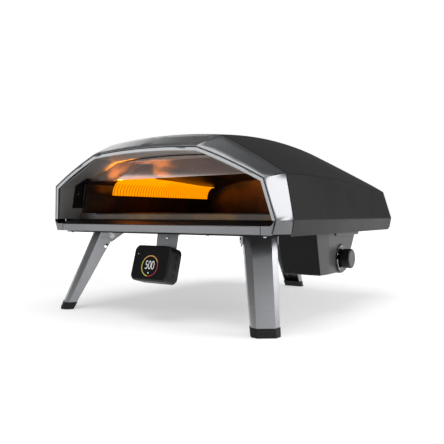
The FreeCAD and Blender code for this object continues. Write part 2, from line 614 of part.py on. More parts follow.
# ---------------------------------------------------------------- burner and gas line
def make_burner():
    length = BURNER_REAR - BURNER_FRONT
    tube = rod((BURNER_X, BURNER_FRONT, BURNER_Z), (0, 1, 0), BURNER_R, length)
    tube = tube.cut(rod((BURNER_X, BURNER_FRONT + 3, BURNER_Z), (0, 1, 0), BURNER_BORE, length - 6))
    count = int((length - 40) / PORT_PITCH)
    ports = [rod((BURNER_X, BURNER_FRONT + 24 + i * PORT_PITCH, BURNER_Z), (0.35, 0, 1), PORT_R, BURNER_R + 4)
             for i in range(count)]
    nodes["burner_tube"] = tube.cut(Part.makeCompound(ports))
    stands = []
    for s in (BURNER_FRONT + STAND_INSET, BURNER_REAR - STAND_INSET):
        stand = front_plate([(BURNER_X - 8, LINER_LOW_Z), (GUARD_FOOT_X - 1, LINER_LOW_Z),
                             (GUARD_FOOT_X - 1, GUARD_Z0), (GUARD_FOOT_X + 5, BURNER_Z - 4),
                             (BURNER_X - 8, BURNER_Z - 4)],
                            s - STAND_LENGTH / 2, s + STAND_LENGTH / 2)
        stands.append(stand.cut(rod((BURNER_X, s - 10, BURNER_Z), (0, 1, 0), BURNER_R, 20)))
    nodes["burner_stands"] = Part.makeCompound(stands)

    horn = GUARD_Z1 + GUARD_HORN
    guard = front_plate([(GUARD_FOOT_X, GUARD_Z0), (GUARD_HEAD_X, horn),
                         (GUARD_HEAD_X + GUARD_THICK, horn), (GUARD_FOOT_X + GUARD_THICK, GUARD_Z0)],
                        GUARD_FRONT, GUARD_REAR)
    dip = GUARD_Z1 - GUARD_DIP
    crest = [(GUARD_FRONT, horn), (GUARD_FRONT + 58, horn), (GUARD_FRONT + 78, dip),
             (GUARD_FRONT + 100, dip - 1), (GUARD_FRONT + 122, GUARD_Z1), (GUARD_REAR, GUARD_Z1),
             (GUARD_REAR, horn + 5), (GUARD_FRONT, horn + 5)]
    foot = box(GUARD_FOOT_X, GUARD_FOOT_X + GUARD_THICK, LINER_FRONT + 1, GUARD_REAR, LINER_LOW_Z, GUARD_Z0)
    nodes["flame_guard_left"] = guard.cut(side_plate(crest, GUARD_FOOT_X - 5, GUARD_HEAD_X + 10)).fuse(foot)
    step = GUARD_HEAD_X + 95
    wave = [(GUARD_HEAD_X + 3, LINER_LOW_Z), (GUARD_HEAD_X + 3, GUARD_Z1), (step - 8, GUARD_Z1),
            (step, GUARD_Z1 + 5), (step + 14, GUARD_Z1 + 11), (step + 38, BACK_GUARD_Z),
            (-GUARD_HEAD_X + 12, BACK_GUARD_Z), (-GUARD_HEAD_X + 12, LINER_LOW_Z)]
    nodes["flame_guard_back"] = front_plate(wave, BACK_GUARD_S, BACK_GUARD_S + GUARD_THICK)

    lane_z = PAN_Z + PAN_WALL + PIPE_R + 3.5
    nodes["gas_pipe"] = bent_tube([(GAS_X, KNOB_S, KNOB_Z + 16), (GAS_X, KNOB_S, lane_z),
                                   (GAS_X, PIPE_BACK_S, lane_z), (BURNER_X, PIPE_BACK_S, lane_z),
                                   (BURNER_X, PIPE_BACK_S, BURNER_Z), (BURNER_X, BURNER_REAR, BURNER_Z)],
                                  PIPE_R, PIPE_BEND)
    post = rod((ELECTRODE_X, ELECTRODE_S, LINER_LOW_Z), (0, 0, 1), 3.0, BURNER_Z - LINER_LOW_Z - 6)
    tip = rod((ELECTRODE_X, ELECTRODE_S, BURNER_Z - 6), (0, 0, 1), 1.0, 16)
    nodes["ignition_electrode"] = post.fuse(tip)
    probe_s = LINER_REAR - PROBE_REACH
    probe = rod((0, probe_s, VISOR_Z), (0, 1, 0), PROBE_R, SHELL_REAR - 10 - probe_s)
    collar = rod((0, LINER_REAR - LINER_WALL - 4, VISOR_Z), (0, 1, 0), PROBE_R + 3, 4)
    nodes["temperature_probe"] = probe.fuse(collar)


# ---------------------------------------------------------------- visor
def make_visor():
    """A glass pane across the top of the mouth, held by a screwed bracket on each jamb."""
    wide = FOLD_HALF
    pane = lining_solid(VISOR_GAP + VISOR_BRACKET_THICK + 0.3)
    slab = box(-wide, wide, VISOR_S, VISOR_S + VISOR_THICK, VISOR_Z, TOP_CREASE_Z)
    nodes["visor_glass"] = pane.common(slab)
    inside = lining_solid(VISOR_BRACKET_THICK, RIM_LOW[1] - 10)
    strip = lining_solid(0.05).cut(inside)
    z0, z1 = VISOR_Z - VISOR_BRACKET_DROP, VISOR_Z + 4
    brackets = [strip.common(box(x0, x1, VISOR_S - 24, VISOR_S + 6, z0, z1))
                for x0, x1 in ((-wide, -TOP_CREASE_HALF), (TOP_CREASE_HALF, wide))]
    screw_z, screw_s = VISOR_Z - 34, VISOR_S - 12
    lean_in = (MOUTH_LOW[0] - MOUTH_UP[0]) / (MOUTH_UP[1] - MOUTH_LOW[1])
    funnel = (RIM_LOW[0] - RIM_WIDTH - MOUTH_LOW[0]) / MOUTH_REAR
    jamb_x = MOUTH_LOW[0] - lean_in * (screw_z - MOUTH_LOW[1]) + funnel * (MOUTH_REAR - screw_s)
    away = V(1, funnel, lean_in).normalize()
    screws = []
    holes = []
    for side in (-1, 1):
        axis = V(side * away.x, away.y, away.z)
        at = V(side * jamb_x, screw_s, screw_z) - axis * (VISOR_BRACKET_THICK + SCREW_HEAD)
        head = Part.makeCylinder(SCREW_R, 2 * SCREW_HEAD, at, axis).common(inside)
        reach = 2 * SCREW_HEAD + VISOR_BRACKET_THICK + LINING_WALL + 2
        screws.append(head.fuse(Part.makeCylinder(SCREW_SHANK_R, reach, at + axis, axis)))
        holes.append(Part.makeCylinder(SCREW_SHANK_R + SCREW_CLEAR, 30, at, axis))
    holes = Part.makeCompound(holes)
    nodes["visor_brackets"] = Part.makeCompound([bracket.cut(holes) for bracket in brackets])
    nodes["mouth_lining"] = nodes["mouth_lining"].cut(holes)
    nodes["visor_screws"] = Part.makeCompound(screws)


# ---------------------------------------------------------------- folding legs
class LegPlane:
    """Places points given by k (inwards), w (across the leg) and z (up)."""

    def __init__(self, foot_x, foot_s, heading_x, heading_s):
        self.foot = V(foot_x, foot_s, 0)
        self.out = V(heading_x, heading_s, 0)
        self.across = V(-heading_s, heading_x, 0)

    def at(self, k, w, z):
        return self.foot - self.out * k + self.across * w + V(0, 0, z)

    def section(self, z, grow=0.0, open_by=0.0):
        """Outline of the leg at one height: a flat face, two chamfers and two sides."""
        t = z / LEG_TOP_Z
        out_k = lerp(*LEG_OUT_K, t) - grow
        chamfer_k = lerp(*LEG_CHAMFER_K, t) - grow * 0.4
        in_k = lerp(*LEG_IN_K, t) + max(grow, 0.0) + open_by
        face = lerp(*LEG_FACE_HALF, t) + grow * 0.4
        half = lerp(*LEG_HALF, t) + grow
        points = [(out_k, -face), (chamfer_k, -half), (in_k, -half),
                  (in_k, half), (chamfer_k, half), (out_k, face)]
        return Part.makePolygon([self.at(k, w, z) for k, w in points + points[:1]])

    def tube(self, z0, z1, grow=0.0, open_by=0.0):
        return Part.makeLoft([self.section(z0, grow, open_by), self.section(z1, grow, open_by)], True, True)

    def pin(self, k, z, radius, half):
        return Part.makeCylinder(radius, 2 * half, self.at(k, -half, z), self.across)

    def plate(self, points, w0, w1):
        face = Part.Face(Part.makePolygon([self.at(k, w0, z) for k, z in points + points[:1]]))
        return face.extrude(self.across * (w1 - w0))


def make_leg(name, plane):
    top_half = LEG_HALF[1]
    body = plane.tube(SOLE, LEG_TOP_Z).cut(plane.tube(0, LEG_TOP_Z + 20, -LEG_WALL, 30))
    far = CHEEK_END_K + 30
    crown = plane.plate([(PIVOT_K, PIVOT_Z), (PIVOT_K, LEG_TOP_Z + 5), (far, LEG_TOP_Z + 5), (far, PIVOT_Z)],
                        -top_half - 2, top_half + 2)
    crown = crown.cut(plane.pin(PIVOT_K, PIVOT_Z, EAR_R, top_half + 5))
    ears = plane.pin(PIVOT_K, PIVOT_Z, EAR_R, top_half)
    ears = ears.cut(plane.pin(PIVOT_K, PIVOT_Z, EAR_R + 1, top_half - LEG_WALL))
    body = body.cut(crown).fuse(ears)
    body = body.cut(plane.pin(PIVOT_K, PIVOT_Z, PIVOT_R + PIVOT_CLEAR, top_half + 5))
    slope_k = (LEG_IN_K[1] - LEG_IN_K[0]) / LEG_TOP_Z
    length = math.hypot(slope_k, 1)
    down_k, down_z = -slope_k / length, -1 / length
    slot_r = LOCK_R + LOCK_CLEAR
    end_k, end_z = LOCK_K + down_k * (LOCK_TRAVEL + 1), LOCK_Z + down_z * (LOCK_TRAVEL + 1)
    side_k, side_z = -down_z * slot_r, down_k * slot_r
    slot = plane.plate([(LOCK_K + side_k, LOCK_Z + side_z), (end_k + side_k, end_z + side_z),
                        (end_k - side_k, end_z - side_z), (LOCK_K - side_k, LOCK_Z - side_z)],
                       -top_half - 2, top_half + 2)
    slot = slot.fuse(plane.pin(LOCK_K, LOCK_Z, slot_r, top_half + 2))
    slot = slot.fuse(plane.pin(end_k, end_z, slot_r, top_half + 2))
    nodes["leg_" + name] = body.cut(slot)
    lock_half = lerp(*LEG_HALF, LOCK_Z / LEG_TOP_Z)
    nodes["leg_lock_" + name] = plane.pin(LOCK_K, LOCK_Z, LOCK_R, lock_half)

    cheek_in = top_half + CHEEK_GAP
    cheek_out = cheek_in + CHEEK_THICK
    cheek = [(LEG_CHAMFER_K[1] + 2, PAN_Z), (CHEEK_END_K, PAN_Z), (PIVOT_K - 2, PIVOT_Z - 16),
             (PIVOT_K - 8, PIVOT_Z - 8), (LEG_CHAMFER_K[1] + 2, PIVOT_Z - 8)]
    bracket = plane.plate(cheek, -cheek_out, -cheek_in).fuse(plane.plate(cheek, cheek_in, cheek_out))
    web = [(PIVOT_K + EAR_R + 12, PAN_Z - CHEEK_THICK), (PIVOT_K + EAR_R + 12, PAN_Z),
           (CHEEK_END_K, PAN_Z), (CHEEK_END_K - 3, PAN_Z - CHEEK_THICK)]
    bracket = bracket.fuse(plane.plate(web, -cheek_out, cheek_out))
    bracket = bracket.cut(plane.pin(PIVOT_K, PIVOT_Z, PIVOT_R, cheek_out + 5))
    bolt = plane.pin(PIVOT_K, PIVOT_Z, PIVOT_R, cheek_out)
    for w, way in ((cheek_out, 1), (-cheek_out, -1)):
        head = Part.makeCylinder(PIVOT_R + 2.5, SCREW_HEAD, plane.at(PIVOT_K, w, PIVOT_Z), plane.across * way)
        bolt = bolt.fuse(head)
    shoe = plane.tube(0, SHOE_HEIGHT, SHOE_WALL)
    nodes["leg_foot_" + name] = shoe.cut(plane.tube(SOLE, SHOE_HEIGHT + 5, SHOE_CLEAR))
    return bracket, bolt


def leg_planes():
    a = math.radians(LEG_HEADING)
    return {"front_left": LegPlane(-FOOT_HALF_X, FOOT_FRONT_S, -math.sin(a), -math.cos(a)),
            "front_right": LegPlane(FOOT_HALF_X, FOOT_FRONT_S, math.sin(a), -math.cos(a)),
            "rear": LegPlane(0, FOOT_REAR_S, 0, 1)}


def make_legs():
    hangers = [make_leg(name, plane) for name, plane in leg_planes().items()]
    nodes["leg_brackets"] = Part.makeCompound([bracket for bracket, bolt in hangers])
    nodes["leg_pivots"] = Part.makeCompound([bolt for bracket, bolt in hangers])


# ---------------------------------------------------------------- gas control
def house_solid(d):
    """Tapered box under the pan: a wide plan at the top and a smaller one at the bottom."""
    top = [(HOUSE_LEFT + d, HOUSE_FRONT + d), (HOUSE_RIGHT - 10 - d, HOUSE_FRONT + d),
           (HOUSE_RIGHT - d, HOUSE_FRONT + 50 + d * 0.4), (HOUSE_RIGHT - d, HOUSE_REAR - d),
           (HOUSE_LEFT + d, HOUSE_REAR - d)]
    low = [(HOUSE_LEFT + 11 + d, HOUSE_FRONT + 20 + d), (HOUSE_RIGHT - 8 - d, HOUSE_FRONT + 20 + d),
           (HOUSE_RIGHT - 2 - d, HOUSE_FRONT + 56 + d * 0.4), (HOUSE_RIGHT - 2 - d, HOUSE_REAR - 63 - d),
           (HOUSE_LEFT + 11 + d, HOUSE_REAR - 63 - d)]
    z_top = PAN_Z + (5 if d else 0)
    z_low = HOUSE_BOTTOM + d
    return Part.makeLoft([polygon([(x, s, z_low) for x, s in low]),
                          polygon([(x, s, z_top) for x, s in top])], True, True)


def make_control():
    shell = house_solid(0)
    edges = [e for e in shell.Edges if abs(e.BoundBox.ZMin - HOUSE_BOTTOM) < 0.1
             and abs(e.BoundBox.ZMax - HOUSE_BOTTOM) < 0.1]
    shell = shell.makeFillet(HOUSE_EDGE_R, edges).cut(house_solid(HOUSE_WALL))
    lip_left = HOUSE_RIGHT - 76
    lip = plan_plate([(lip_left, HOUSE_FRONT + 90), (HOUSE_RIGHT + 3, HOUSE_FRONT + 90),
                      (HOUSE_RIGHT + 3, FLANGE_REAR - 14), (HOUSE_RIGHT - 11, FLANGE_REAR),
                      (lip_left, FLANGE_REAR)], PAN_Z - FLANGE_THICK, PAN_Z)
    lip_edges = [e for e in lip.Edges if e.BoundBox.ZMax < PAN_Z - FLANGE_THICK + 0.1]
    lip = lip.makeFillet(4.0, lip_edges).cut(house_solid(HOUSE_WALL * 0.5))
    boss = rod((DIAL_X - 8, KNOB_S, KNOB_Z), (1, 0, 0), DIAL_R + BOSS_MARGIN, 7.6)
    full = shell.fuse(lip).fuse(boss.cut(house_solid(HOUSE_WALL)))
    full = full.cut(rod((DIAL_X - 20, KNOB_S, KNOB_Z), (1, 0, 0), STEM_R + STEM_HOLE, 40))

    def side_of_joint(gap, far):
        """Everything between the sloping joint and a far plane."""
        return front_plate([(HOUSE_SPLIT[0] + gap, PAN_Z), (HOUSE_SPLIT[1] + gap, HOUSE_BOTTOM - 1),
                            (far, HOUSE_BOTTOM - 1), (far, PAN_Z)], 0, SHELL_REAR)
    cover = full.common(side_of_joint(HOUSE_JOINT, FOLD_HALF))
    housing = full.common(side_of_joint(0, 0))
    nodes["control_housing"] = housing.cut(rod((GAS_X, HOUSE_REAR - 80, KNOB_Z), (0, 1, 0), INLET_R + 2, 90))
    nodes["control_cover"] = cover

    dial = rod((DIAL_X, KNOB_S, KNOB_Z), (1, 0, 0), DIAL_R, DIAL_THICK)
    rim = [e for e in dial.Edges if abs(e.BoundBox.XMin - DIAL_X - DIAL_THICK) < 0.01]
    dial = dial.makeFillet(1.0, rim)
    nodes["dial_plate"] = dial.cut(rod((DIAL_X - 5, KNOB_S, KNOB_Z), (1, 0, 0), STEM_R + STEM_HOLE, 20))

    valve_front, valve_back = GAS_X - 24, GAS_X + 34
    valve = box(valve_front, valve_back, KNOB_S - 20, KNOB_S + 22, KNOB_Z - 16, KNOB_Z + 16)
    valve = valve.makeFillet(3.0, valve.Edges)
    valve = valve.fuse(rod((valve_back - 4, KNOB_S, KNOB_Z), (1, 0, 0), 9.0, 16))
    stem_start = GAS_X + 6
    valve = valve.cut(rod((stem_start, KNOB_S, KNOB_Z), (1, 0, 0), STEM_R + STEM_CLEAR, 60))
    nodes["gas_valve"] = valve
    thread_s = HOUSE_REAR + INLET_OUT - INLET_LENGTH
    inlet = rod((GAS_X, KNOB_S + 22, KNOB_Z), (0, 1, 0), INLET_R - 1.4, thread_s - KNOB_S - 22)
    thread = rod((GAS_X, thread_s, KNOB_Z), (0, 1, 0), INLET_R, INLET_LENGTH)
    hexagon = [(GAS_X + 11 * math.cos(math.radians(60 * i)), KNOB_Z + 11 * math.sin(math.radians(60 * i)))
               for i in range(6)]
    nut = front_plate(hexagon, HOUSE_REAR - 60, HOUSE_REAR - 52)
    bore = rod((GAS_X, HOUSE_REAR - 40, KNOB_Z), (0, 1, 0), 4.0, 60)
    nodes["gas_inlet"] = inlet.fuse(thread).fuse(nut).cut(bore)

    knob_back = DIAL_X + DIAL_THICK + KNOB_TRAVEL + KNOB_GAP
    knob_face = knob_back + KNOB_LENGTH
    stem_end = knob_face - 6 - KNOB_TRAVEL

    def d_bar(radius, x0, x1, flat):
        bar = rod((x0, KNOB_S, KNOB_Z), (1, 0, 0), radius, x1 - x0)
        flat_z = KNOB_Z + radius - flat
        return bar.cut(box(x0 - 1, x1 + 1, KNOB_S - 9, KNOB_S + 9, flat_z, flat_z + 9))
    round_part = rod((stem_start + 1, KNOB_S, KNOB_Z), (1, 0, 0), STEM_R, DIAL_X - 10 - stem_start - 1)
    nodes["valve_stem"] = round_part.fuse(d_bar(STEM_R, DIAL_X - 10, stem_end, STEM_FLAT))
    knob = rod((knob_back, KNOB_S, KNOB_Z), (1, 0, 0), KNOB_R, KNOB_LENGTH)
    face_edge = [e for e in knob.Edges if abs(e.BoundBox.XMin - knob_face) < 0.01]
    knob = knob.makeFillet(2.0, face_edge)
    flute_circle = KNOB_R + FLUTE_R * 0.45
    flutes = []
    for i in range(KNOB_FLUTES):
        a = 2 * math.pi * i / KNOB_FLUTES
        start = (knob_back - 1, KNOB_S + flute_circle * math.cos(a), KNOB_Z + flute_circle * math.sin(a))
        flutes.append(rod(start, (1, 0, 0), FLUTE_R, KNOB_LENGTH - 4))
    knob = knob.cut(Part.makeCompound(flutes))
    pocket = d_bar(STEM_R + STEM_CLEAR, knob_back - 1, stem_end + KNOB_TRAVEL + 1, STEM_FLAT)
    nodes["control_knob"] = knob.cut(pocket)
    cell = rod((HOUSE_LEFT + 40, HOUSE_FRONT + 60, HOUSE_BOTTOM + 22), (0, 0, 1), 9.0, 56)
    coil = box(HOUSE_LEFT + 54, HOUSE_LEFT + 84, HOUSE_FRONT + 45, HOUSE_FRONT + 80, HOUSE_BOTTOM + 24,
               HOUSE_BOTTOM + 60)
    shelf = box(HOUSE_LEFT + 28, HOUSE_LEFT + 88, HOUSE_FRONT + 40, HOUSE_FRONT + 84,
                HOUSE_BOTTOM + HOUSE_WALL, HOUSE_BOTTOM + 24)
    nodes["igniter_module"] = coil.makeFillet(3.0, coil.Edges).fuse(cell).fuse(shelf)


# ---------------------------------------------------------------- thermometer hub
def hub_place(shape):
    """Hub pieces are drawn upright with the face at depth 0, then leaned back and put in place."""
    shape = shape.copy()
    shape.translate(V(0, -HUB_DEPTH / 2, 0))
    shape.rotate(V(0, 0, 0), V(1, 0, 0), -HUB_TILT)
    shape.translate(V(HUB_X, HUB_S, HUB_Z))
    return shape


def hub_slab(d, v0, v1, corner):
    half_w, half_h = HUB_WIDTH / 2 - d, HUB_HEIGHT / 2 - d
    slab = box(-half_w, half_w, v0, v1, -half_h, half_h)
    upright = [e for e in slab.Edges if abs(e.Vertexes[0].Y - e.Vertexes[-1].Y) > 0.01]
    return slab.makeFillet(corner, upright)


def rim_edges(shape, v):
    return [e for e in shape.Edges if abs(e.BoundBox.YMin - v) < 0.01 and abs(e.BoundBox.YMax - v) < 0.01]


def pill(x0, x1, v, z, half_long, radius):
    bar = box(x0, x1, v - radius, v + radius, z - half_long + radius, z + half_long - radius)
    for end in (z - half_long + radius, z + half_long - radius):
        bar = bar.fuse(rod((x0, v, end), (1, 0, 0), radius, x1 - x0))
    return bar.removeSplitter()


def make_hub():
    front = hub_slab(0, 0, HUB_SPLIT, HUB_CORNER)
    front = front.makeChamfer(3.5, rim_edges(front, 0))
    seat = hub_slab(HUB_FACE_INSET, -1, HUB_FACE_THICK, HUB_CORNER - HUB_FACE_INSET)
    hollow = hub_slab(HUB_WALL + 4, HUB_FACE_THICK + 2, HUB_SPLIT + 1, HUB_CORNER - 6)
    nodes["hub_front_shell"] = hub_place(front.cut(seat).cut(hollow))
    glass = hub_slab(HUB_FACE_INSET + 0.2, 0.2, HUB_FACE_THICK, HUB_CORNER - HUB_FACE_INSET)
    nodes["hub_face_glass"] = hub_place(glass)

    back = hub_slab(0, HUB_SPLIT + HUB_SEAM, HUB_DEPTH, HUB_CORNER)
    back = back.makeChamfer(6.0, rim_edges(back, HUB_DEPTH))
    back = back.cut(hub_slab(HUB_WALL, HUB_SPLIT, HUB_DEPTH - HUB_WALL - 4, HUB_CORNER - HUB_WALL))
    side = HUB_WIDTH / 2
    buttons = {"hub_button_up": (20.0, 8.0, 2.4), "hub_button_down": (-2.0, 8.0, 2.4),
               "hub_button_power": (-23.0, 3.6, 3.6)}
    for name, (z, half_long, radius) in buttons.items():
        start = side - HUB_WALL - 1.5
        if half_long > radius:
            cap = pill(start, side + BUTTON_OUT, BUTTON_V, z, half_long, radius)
            hole = pill(side - 10, side + 5, BUTTON_V, z, half_long + BUTTON_CLEAR, radius + BUTTON_CLEAR)
        else:
            cap = rod((start, BUTTON_V, z), (1, 0, 0), radius, side + BUTTON_OUT - start)
            hole = rod((side - 10, BUTTON_V, z), (1, 0, 0), radius + BUTTON_CLEAR, 15)
        back = back.cut(hole)
        nodes[name] = hub_place(cap)
    nodes["hub_back_shell"] = hub_place(back)
    board = hub_slab(HUB_WALL + 5, HUB_SPLIT - 3, HUB_SPLIT - 1.4, 6)
    nodes["hub_circuit_board"] = hub_place(board)
    door = box(-26, 26, HUB_DEPTH + 0.05, HUB_DEPTH + 1.6, -30, -6)
    nodes["hub_battery_door"] = hub_place(door)

    tilt = math.radians(HUB_TILT)
    reach = HUB_DEPTH / 2 + 0.05

    def behind(up, back):
        return (HUB_S + (reach + back) * math.cos(tilt) + up * math.sin(tilt),
                HUB_Z - (reach + back) * math.sin(tilt) + up * math.cos(tilt))
    low, knee = behind(2, 0), behind(46, 0)
    low_b, knee_b = behind(2, STRAP_THICK), behind(46, STRAP_THICK)
    top_s = knee[0] + 6
    strap = side_plate([low, knee, (top_s, PAN_Z - STRAP_THICK), (top_s, PAN_Z), (top_s + 30, PAN_Z),
                        (top_s + 30, PAN_Z - STRAP_THICK), (top_s + STRAP_THICK + 0.5, PAN_Z - STRAP_THICK),
                        knee_b, low_b], -STRAP_TOP_HALF, STRAP_TOP_HALF)
    taper = []
    for side_x in (-1, 1):
        corner = [(side_x * STRAP_TOP_HALF, PAN_Z - 18), (side_x * (STRAP_TOP_HALF + 9), PAN_Z - 18),
                  (side_x * (STRAP_TOP_HALF + 9), HUB_Z - 40), (side_x * STRAP_LOW_HALF, HUB_Z - 40)]
        taper.append(front_plate(corner, 0, 200))
    strap = strap.cut(Part.makeCompound(taper))
    strap.translate(V(HUB_X, 0, 0))
    nodes["hub_bracket"] = strap
    for x in (HUB_X - 18, HUB_X + 18):
        heads.append(rod((x, top_s + 18, PAN_Z - STRAP_THICK), (0, 0, -1), SCREW_R + 1, SCREW_HEAD))


# ---------------------------------------------------------------- fasteners
def make_screws():
    """Heads on the underside of the pan, in two rows, and on the rear panel."""
    radius = SCREW_R + 0.5
    outer, inner = RAIL_HALF, RAIL_HALF / 2
    for x in (-outer + 5, -inner, inner, outer - 5):
        for s in (24, SHELL_REAR - 30):
            heads.append(rod((x, s, PAN_Z), (0, 0, -1), radius, SCREW_HEAD))
    panel_back = SHELL_REAR - PANEL_INSET + SHELL_WALL
    for x in (-SIDE_CREASE_HALF + 72, 0, SIDE_CREASE_HALF - 72):
        heads.append(rod((x, panel_back, PAN_Z + 57), (0, 1, 0), radius, SCREW_HEAD))
    nodes["casing_screws"] = Part.makeCompound(heads)


def write_parts():
    """Move everything so that the origin is on the ground under the middle, and write the files."""
    whole = Part.makeCompound(list(nodes.values())).optimalBoundingBox(False)
    middle = (whole.YMin + whole.YMax) / 2
    os.makedirs("parts", exist_ok=True)
    for name, shape in nodes.items():
        moved = shape.copy()
        moved.translate(V(0, -middle, 0))
        moved.exportStep("parts/%s.step" % name)
    corners = (whole.XMin, whole.XMax, whole.YMin, whole.YMax, whole.ZMin, whole.ZMax)
    print("overall", [round(v, 1) for v in corners])
    print("s of the origin %.3f" % middle, "pieces", len(nodes))


make_casing()
make_collar()
make_rim()
make_lining()
make_rail()
make_pan()
make_chamber()
make_insulation()
make_stones()
make_burner()
make_visor()
make_legs()
make_control()
make_hub()
make_screws()
write_parts()
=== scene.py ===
# %% [markdown]
# # A portable gas-fired pizza oven
# The oven's sizes and motions are settled in CAD.  This lesson gives each CAD piece the finish that it has
# in real life, adds the thin things that CAD left out (the flame, the printed marks, the display, the
# knob's insert and a screw), and lights the oven like a small product studio.  Everything is in metres,
# with the origin on the ground under the middle of the oven, +X to the right and +Y towards the back.

# %% Load the CAD frame
import bmesh
import bpy
import json
import math
from mathutils import Matrix, Vector


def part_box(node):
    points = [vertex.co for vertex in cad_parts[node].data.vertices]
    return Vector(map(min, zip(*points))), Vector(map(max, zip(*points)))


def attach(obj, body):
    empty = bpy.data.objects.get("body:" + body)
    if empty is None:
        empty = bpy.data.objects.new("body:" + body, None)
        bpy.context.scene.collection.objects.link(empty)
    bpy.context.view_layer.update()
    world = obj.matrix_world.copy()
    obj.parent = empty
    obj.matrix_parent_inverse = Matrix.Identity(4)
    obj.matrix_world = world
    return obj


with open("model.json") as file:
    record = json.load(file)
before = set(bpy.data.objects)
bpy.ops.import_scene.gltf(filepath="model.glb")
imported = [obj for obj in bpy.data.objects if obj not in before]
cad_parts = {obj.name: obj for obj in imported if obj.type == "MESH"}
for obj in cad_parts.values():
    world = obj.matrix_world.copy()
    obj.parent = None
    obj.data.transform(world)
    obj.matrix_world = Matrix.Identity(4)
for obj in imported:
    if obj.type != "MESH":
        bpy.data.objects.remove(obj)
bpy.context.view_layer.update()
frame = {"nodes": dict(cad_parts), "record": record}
nodes = frame["nodes"]
MM = 0.001

# %% [markdown]
# ## Small helpers
# Colours are written as the hex values that a paint chart would give, and one function turns them into
# the linear numbers that shaders work with.  Noise textures want "cells per metre" as their scale, so a
# second function works that out from the size of one grain.  One more adds a shader node with its
# settings and its inputs, where an input is either a value or the output of an earlier node.

# %% Colours and shader nodes
def linear(hex_code):
    """sRGB hex to linear RGBA."""
    parts = [int(hex_code[i:i + 2], 16) / 255 for i in (1, 3, 5)]
    curve = [c / 12.92 if c <= 0.04045 else ((c + 0.055) / 1.055) ** 2.4 for c in parts]
    return (*curve, 1.0)


def noise_scale(grain_mm):
    """Scale of a noise texture whose grains are this many millimetres wide."""
    return 1 / (grain_mm * MM)


def add(tree, kind, inputs=None, **settings):
    """Adds one node.  An input given as a socket is linked, and anything else is its value."""
    made = tree.nodes.new(kind)
    for name, value in settings.items():
        setattr(made, name, value)
    for name, value in (inputs or {}).items():
        if isinstance(value, bpy.types.NodeSocket):
            tree.links.new(value, made.inputs[name])
        else:
            made.inputs[name].default_value = value
    return made


def new_material(name, **values):
    """A material with a Principled shader, whose uniform values are set on the shader itself."""
    material = bpy.data.materials.new(name)
    material.use_nodes = True
    tree = material.node_tree
    shader = tree.nodes["Principled BSDF"]
    for socket, value in values.items():
        shader.inputs[socket.replace("_", " ")].default_value = value
    place = add(tree, "ShaderNodeTexCoord").outputs["Object"]
    return material, tree, shader, place


print("helpers ready")

# %% [markdown]
# ## A finish with grain
# Most of this oven's surfaces are one colour with a fine tooth: powder coat, satin metal, moulded plastic.
# An image of each surface would do, but it has to be unwrapped onto every piece.  A procedural finish
# needs no unwrapping, and reads Object coordinates, so that its grain has the same size on all pieces.
# Three things make it: a fine noise for the tooth, a broad slow noise for handling and unevenness, and a
# bump.  Grain sizes are real millimetres.  A tooth finer than about 2 mm would vanish at this distance, so
# those are drawn near 2 mm.

# %% Grained finish
FINE_SHARE = 0.35
TINT_FROM, TINT_TO = 0.35, 0.65
ROUGH_FROM, ROUGH_TO = 0.3, 0.7
TOOTH_STRENGTH = 0.5


def grained(name, dark, light, grain_mm, bump_mm, roughness, spread=0.06, stretch=(1, 1, 1), broad_mm=140.0,
            **values):
    """Two close colours and a roughness that follow the two noises, and a fine bump."""
    material, tree, shader, place = new_material(name, **values)
    stretched = add(tree, "ShaderNodeMapping", {"Vector": place, "Scale": stretch}).outputs["Vector"]
    broad = add(tree, "ShaderNodeTexNoise", {"Vector": place, "Scale": noise_scale(broad_mm), "Detail": 3.0})
    fine = add(tree, "ShaderNodeTexNoise",
               {"Vector": stretched, "Scale": noise_scale(grain_mm), "Detail": 2.0})
    both = add(tree, "ShaderNodeMix",
               {"Factor": FINE_SHARE, "A": broad.outputs["Fac"], "B": fine.outputs["Fac"]})
    tint = add(tree, "ShaderNodeValToRGB", {"Fac": both.outputs["Result"]})
    dark_stop, light_stop = tint.color_ramp.elements
    dark_stop.position, dark_stop.color = TINT_FROM, linear(dark)
    light_stop.position, light_stop.color = TINT_TO, linear(light)
    tree.links.new(tint.outputs["Color"], shader.inputs["Base Color"])
    rough = add(tree, "ShaderNodeMapRange",
                {"Value": both.outputs["Result"], "From Min": ROUGH_FROM, "From Max": ROUGH_TO,
                 "To Min": roughness - spread, "To Max": roughness + spread})
    tree.links.new(rough.outputs["Result"], shader.inputs["Roughness"])
    bump = add(tree, "ShaderNodeBump",
               {"Strength": TOOTH_STRENGTH, "Distance": bump_mm * MM, "Height": fine.outputs["Fac"]})
    tree.links.new(bump.outputs["Normal"], shader.inputs["Normal"])
    return material


finishes = {}
print("grained finish ready")

# %% [markdown]
# ## Casing: polyester powder coat on steel
# The shell, the pan, the porch and the control housing wear it.  Sprayed as dry powder and melted on, it is
# a thick, faintly pebbled plastic film: dark charcoal, half matt, with a soft sheen where light grazes it.
# A lowered specular level keeps the black deep, and the pebble is a 2.4 mm noise, twice the real one so
# that it still shows.

# %% Powder coat
finishes["powder_coat_black"] = grained(
    "charcoal powder coat on steel", "#0f0f10", "#151516", grain_mm=2.4, bump_mm=0.06, roughness=0.44,
    Specular_IOR_Level=0.2)
print("powder coat ready")

# %% [markdown]
# ## Collar and rail: satin metallic stove paint
# The front collar is pressed steel with a pewter-grey paint full of aluminium flake.  It mirrors light
# softly, like cast metal, so each facet shows a different grey.  A coat over a dark plastic would hide
# those steps, so it is treated as a metal, with a low roughness and almost no texture.

# %% Collar, rail and its corners
finishes["satin_grey_metal"] = grained(
    "satin pewter stove paint with aluminium flake", "#6c6d6f", "#757678", grain_mm=2.0, bump_mm=0.004,
    roughness=0.28, spread=0.015, Metallic=1.0)
print("stove paint ready")

